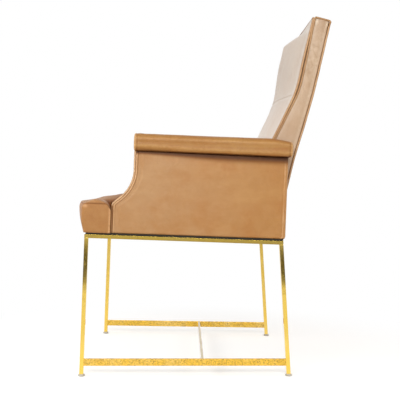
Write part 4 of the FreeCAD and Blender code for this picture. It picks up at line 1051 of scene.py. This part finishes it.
def softened(node, material, width=BAR_EDGE):
    """A copy of a brass node with its sharp corners rounded over a little."""
    name = node + "_bar"
    work = bmesh.new()
    work.from_mesh(frame["nodes"][node].data)
    bmesh.ops.remove_doubles(work, verts=work.verts, dist=BAR_MERGE)
    bmesh.ops.dissolve_limit(work, angle_limit=math.radians(3), verts=work.verts, edges=work.edges)
    sharp = [edge for edge in work.edges if edge.calc_face_angle(0) > math.radians(30)]
    bmesh.ops.bevel(work, geom=sharp, offset=width, segments=2, profile=0.6, affect="EDGES")
    bmesh.ops.recalc_face_normals(work, faces=work.faces)
    mesh = bpy.data.meshes.new(name)
    work.to_mesh(mesh)
    work.free()
    place_piece(name, mesh, (material, "brass"), [node])


def dress_nodes():
    """Finishes for the nodes that keep their own shape, and softened copies of the brass bars."""
    bar = brass("bar_brass", *BAR_TONES, satin=0.06)
    worn_bar = brass("worn_bar_brass", *BAR_TONES, satin=0.3)
    low_bar = brass("stretcher_brass", *STRETCHER_TONES, 1.2)
    cross_bar = brass("cross_brass", *CROSS_TONES, 0.4)
    for end in ("front", "rear"):
        softened(end + "_brass_rail", bar, RAIL_EDGE)
        softened(end + "_left_leg", bar)
        softened(end + "_right_leg", worn_bar)
    for name, _ in SIDES:
        softened(name + "_brass_rail", bar, RAIL_EDGE)
        softened(name + "_stretcher", low_bar)
    softened("cross_stretcher", cross_bar)
    kinds = {
        "glide": moulded("glide_grey"),
        "brass": bar,
        "dust_cloth": woven("black_cloth", *BLACK_CLOTH),
        "webbing": woven("jute", *JUTE),
        "foam": sponge("old_foam"),
        "wood": timber("beech"),
        "steel": zinc("zinc"),
    }
    slots = {part["node"]: part["material_slot"] for part in frame["record"]["subparts"]}
    for node, thing in frame["nodes"].items():
        if slots.get(node) in kinds and not thing.hide_render:
            thing.data.materials.clear()
            thing.data.materials.append(kinds[slots[node]])


# The whole chair

for name, side in SIDES:
    arm_panel(name + "_outer_skin", side, True, SHADOW_GAP, [name + "_outer_panel"])
    arm_panel(name + "_inner_skin", side, False, DECK, [name + "_inner_panel"])
    arm_facing(name + "_front_strip", side, [name + "_arm_facing"])
    arm_rear_facing(name + "_rear_strip", side, [name + "_arm_rear_facing"])
    arm_roll(name + "_roll", side, [name + "_arm_roll"])
    side_boxing(name + "_back_side", side, [name + "_back_boxing"])
seat_cushion(["seat_cover"])
underside_cloth(["dust_cover"])
back_pad("upper_pad", PAD_SEAM + 0.05, TOP_HEIGHT - WELT_ROOM, ["upper_back_pad"], 21.0)
back_pad("lower_pad", KINK_HEIGHT, PAD_SEAM - 0.05, ["lower_back_pad"], 47.0)
top_boxing(["top_boxing"])
outside_back(["outside_back"])
back_pipings()
arm_pipings()
dress_nodes()


# Studio: a white floor that keeps a faint shadow, a white surround and large soft lights

FLOOR_HALF = 14.0
FOCAL_PIXELS, PHOTO_WIDTH, SENSOR_WIDTH = 710.6, 400, 36


def shown_white(nodes):
    """1 for the rays that show the background: from the camera, off metal and through glass."""
    seen = nodes.node("ShaderNodeLightPath").outputs
    camera, glossy, through_glass = (Field(nodes, seen["Is %s Ray" % kind])
                                     for kind in ("Camera", "Glossy", "Transmission"))
    return camera.sum("MAXIMUM", glossy).sum("MAXIMUM", through_glass)


def stage_sheet(name, corners):
    """A flat four-cornered sheet of the studio, with the nodes of its empty material."""
    mesh = bpy.data.meshes.new(name)
    mesh.from_pydata(corners, [], [(0, 1, 2, 3)])
    sheet = into_scene(name, mesh)
    material = bpy.data.materials.new(name)
    material.use_nodes = True
    mesh.materials.append(material)
    return sheet, Nodes(material.node_tree)


def studio_floor():
    """A white floor: near the chair it is lit and keeps the shadow, farther off it is plain white."""
    corners = [(x * FLOOR_HALF, y * FLOOR_HALF, 0) for x, y in ((-1, -1), (1, -1), (1, 1), (-1, 1))]
    _, nodes = stage_sheet("studio_floor", corners)
    shown = shown_white(nodes)
    place = nodes.field("ShaderNodeTexCoord", output="Object")
    distance = nodes.field("ShaderNodeVectorMath", {"operation": "LENGTH"}, {0: place}, "Value")
    lit = nodes.field("ShaderNodeBsdfDiffuse", inputs={"Color": (0.86, 0.85, 0.84)})
    raised = nodes.blend(shown, (0, 0, 0), (0.45, 0.45, 0.45))
    lift = nodes.field("ShaderNodeEmission", inputs={"Color": raised})
    near = nodes.field("ShaderNodeAddShader", inputs={0: lit, 1: lift})
    white = nodes.field("ShaderNodeEmission", inputs={"Color": (1, 1, 1)})
    far = distance.step(0.45, 1.0) * shown
    both = nodes.field("ShaderNodeMixShader", inputs={0: far, 1: near, 2: white})
    nodes.node("ShaderNodeOutputMaterial", inputs={"Surface": both})


def studio_world():
    """A surround that looks white and lights the chair softly."""
    world = bpy.data.worlds.new("studio_surround")
    bpy.context.scene.world = world
    world.use_nodes = True
    nodes = Nodes(world.node_tree)
    colour = nodes.blend(shown_white(nodes), (0.42, 0.414, 0.403), (1, 1, 1))
    around = nodes.field("ShaderNodeBackground", inputs={"Color": colour})
    nodes.node("ShaderNodeOutputWorld", inputs={"Surface": around})


def dark_card(name, corners, tone):
    """A card behind the camera that only reflections show: the brass mirrors the dark of the room there."""
    card, nodes = stage_sheet(name, corners)
    glow = nodes.field("ShaderNodeEmission", inputs={"Color": (tone, tone, tone)})
    nodes.node("ShaderNodeOutputMaterial", inputs={"Surface": glow})
    card.visible_camera = card.visible_diffuse = card.visible_shadow = card.visible_transmission = False


def soft_light(name, place, aim, wide, high, power):
    """A large rectangular lamp at a place, turned to face the point that it lights."""
    lamp = bpy.data.lights.new(name, "AREA")
    lamp.shape = "RECTANGLE"
    lamp.size, lamp.size_y = wide, high
    lamp.energy = power
    holder = into_scene(name, lamp)
    holder.location = place
    holder.rotation_euler = (Vector(aim) - Vector(place)).to_track_quat("-Z", "Y").to_euler()


def photo_camera():
    """The camera at the photograph's place: its position and turns were fitted to the base's corners."""
    place = Vector((2.2321, 0.2807 + FRONT_FEET, 0.5043))
    yaw, pitch, roll = -0.0191, 0.0106, -0.0122
    forward = Vector((-math.cos(yaw) * math.cos(pitch), -math.sin(yaw) * math.cos(pitch), -math.sin(pitch)))
    right = forward.cross(Vector((0, 0, 1))).normalized()
    down = forward.cross(right)
    turned_right = math.cos(roll) * right + math.sin(roll) * down
    turned_down = -math.sin(roll) * right + math.cos(roll) * down
    lens = bpy.data.cameras.new("photo_camera")
    lens.sensor_width = SENSOR_WIDTH
    lens.lens = SENSOR_WIDTH * FOCAL_PIXELS / PHOTO_WIDTH
    lens.clip_start, lens.clip_end = 0.05, 60
    holder = into_scene("photo_camera", lens)
    turn = Matrix((turned_right, -turned_down, -forward)).transposed()
    holder.matrix_world = Matrix.Translation(place) @ turn.to_4x4()
    bpy.context.scene.camera = holder


studio_floor()
studio_world()
dark_card("floor_card", [(2.2, -4, 0.004), (5, -4, 0.004), (5, 4, 0.004), (2.2, 4, 0.004)], 0.07)
dark_card("wall_card", [(5, -6, 0), (5, 6, 0), (5, 6, 2.4), (5, -6, 2.4)], 0.58)
soft_light("key_light", (3.0, -0.4, 1.75), (0, 0, 0.4), 3.0, 0.8, 59)
soft_light("front_light", (0.6, -2.6, 1.8), (0, 0, 0.6), 2.0, 1.4, 29)
soft_light("rear_light", (0.4, 2.6, 1.9), (0, 0, 0.6), 2.0, 1.4, 10)
photo_camera()
bpy.context.scene.view_settings.view_transform = "Standard"
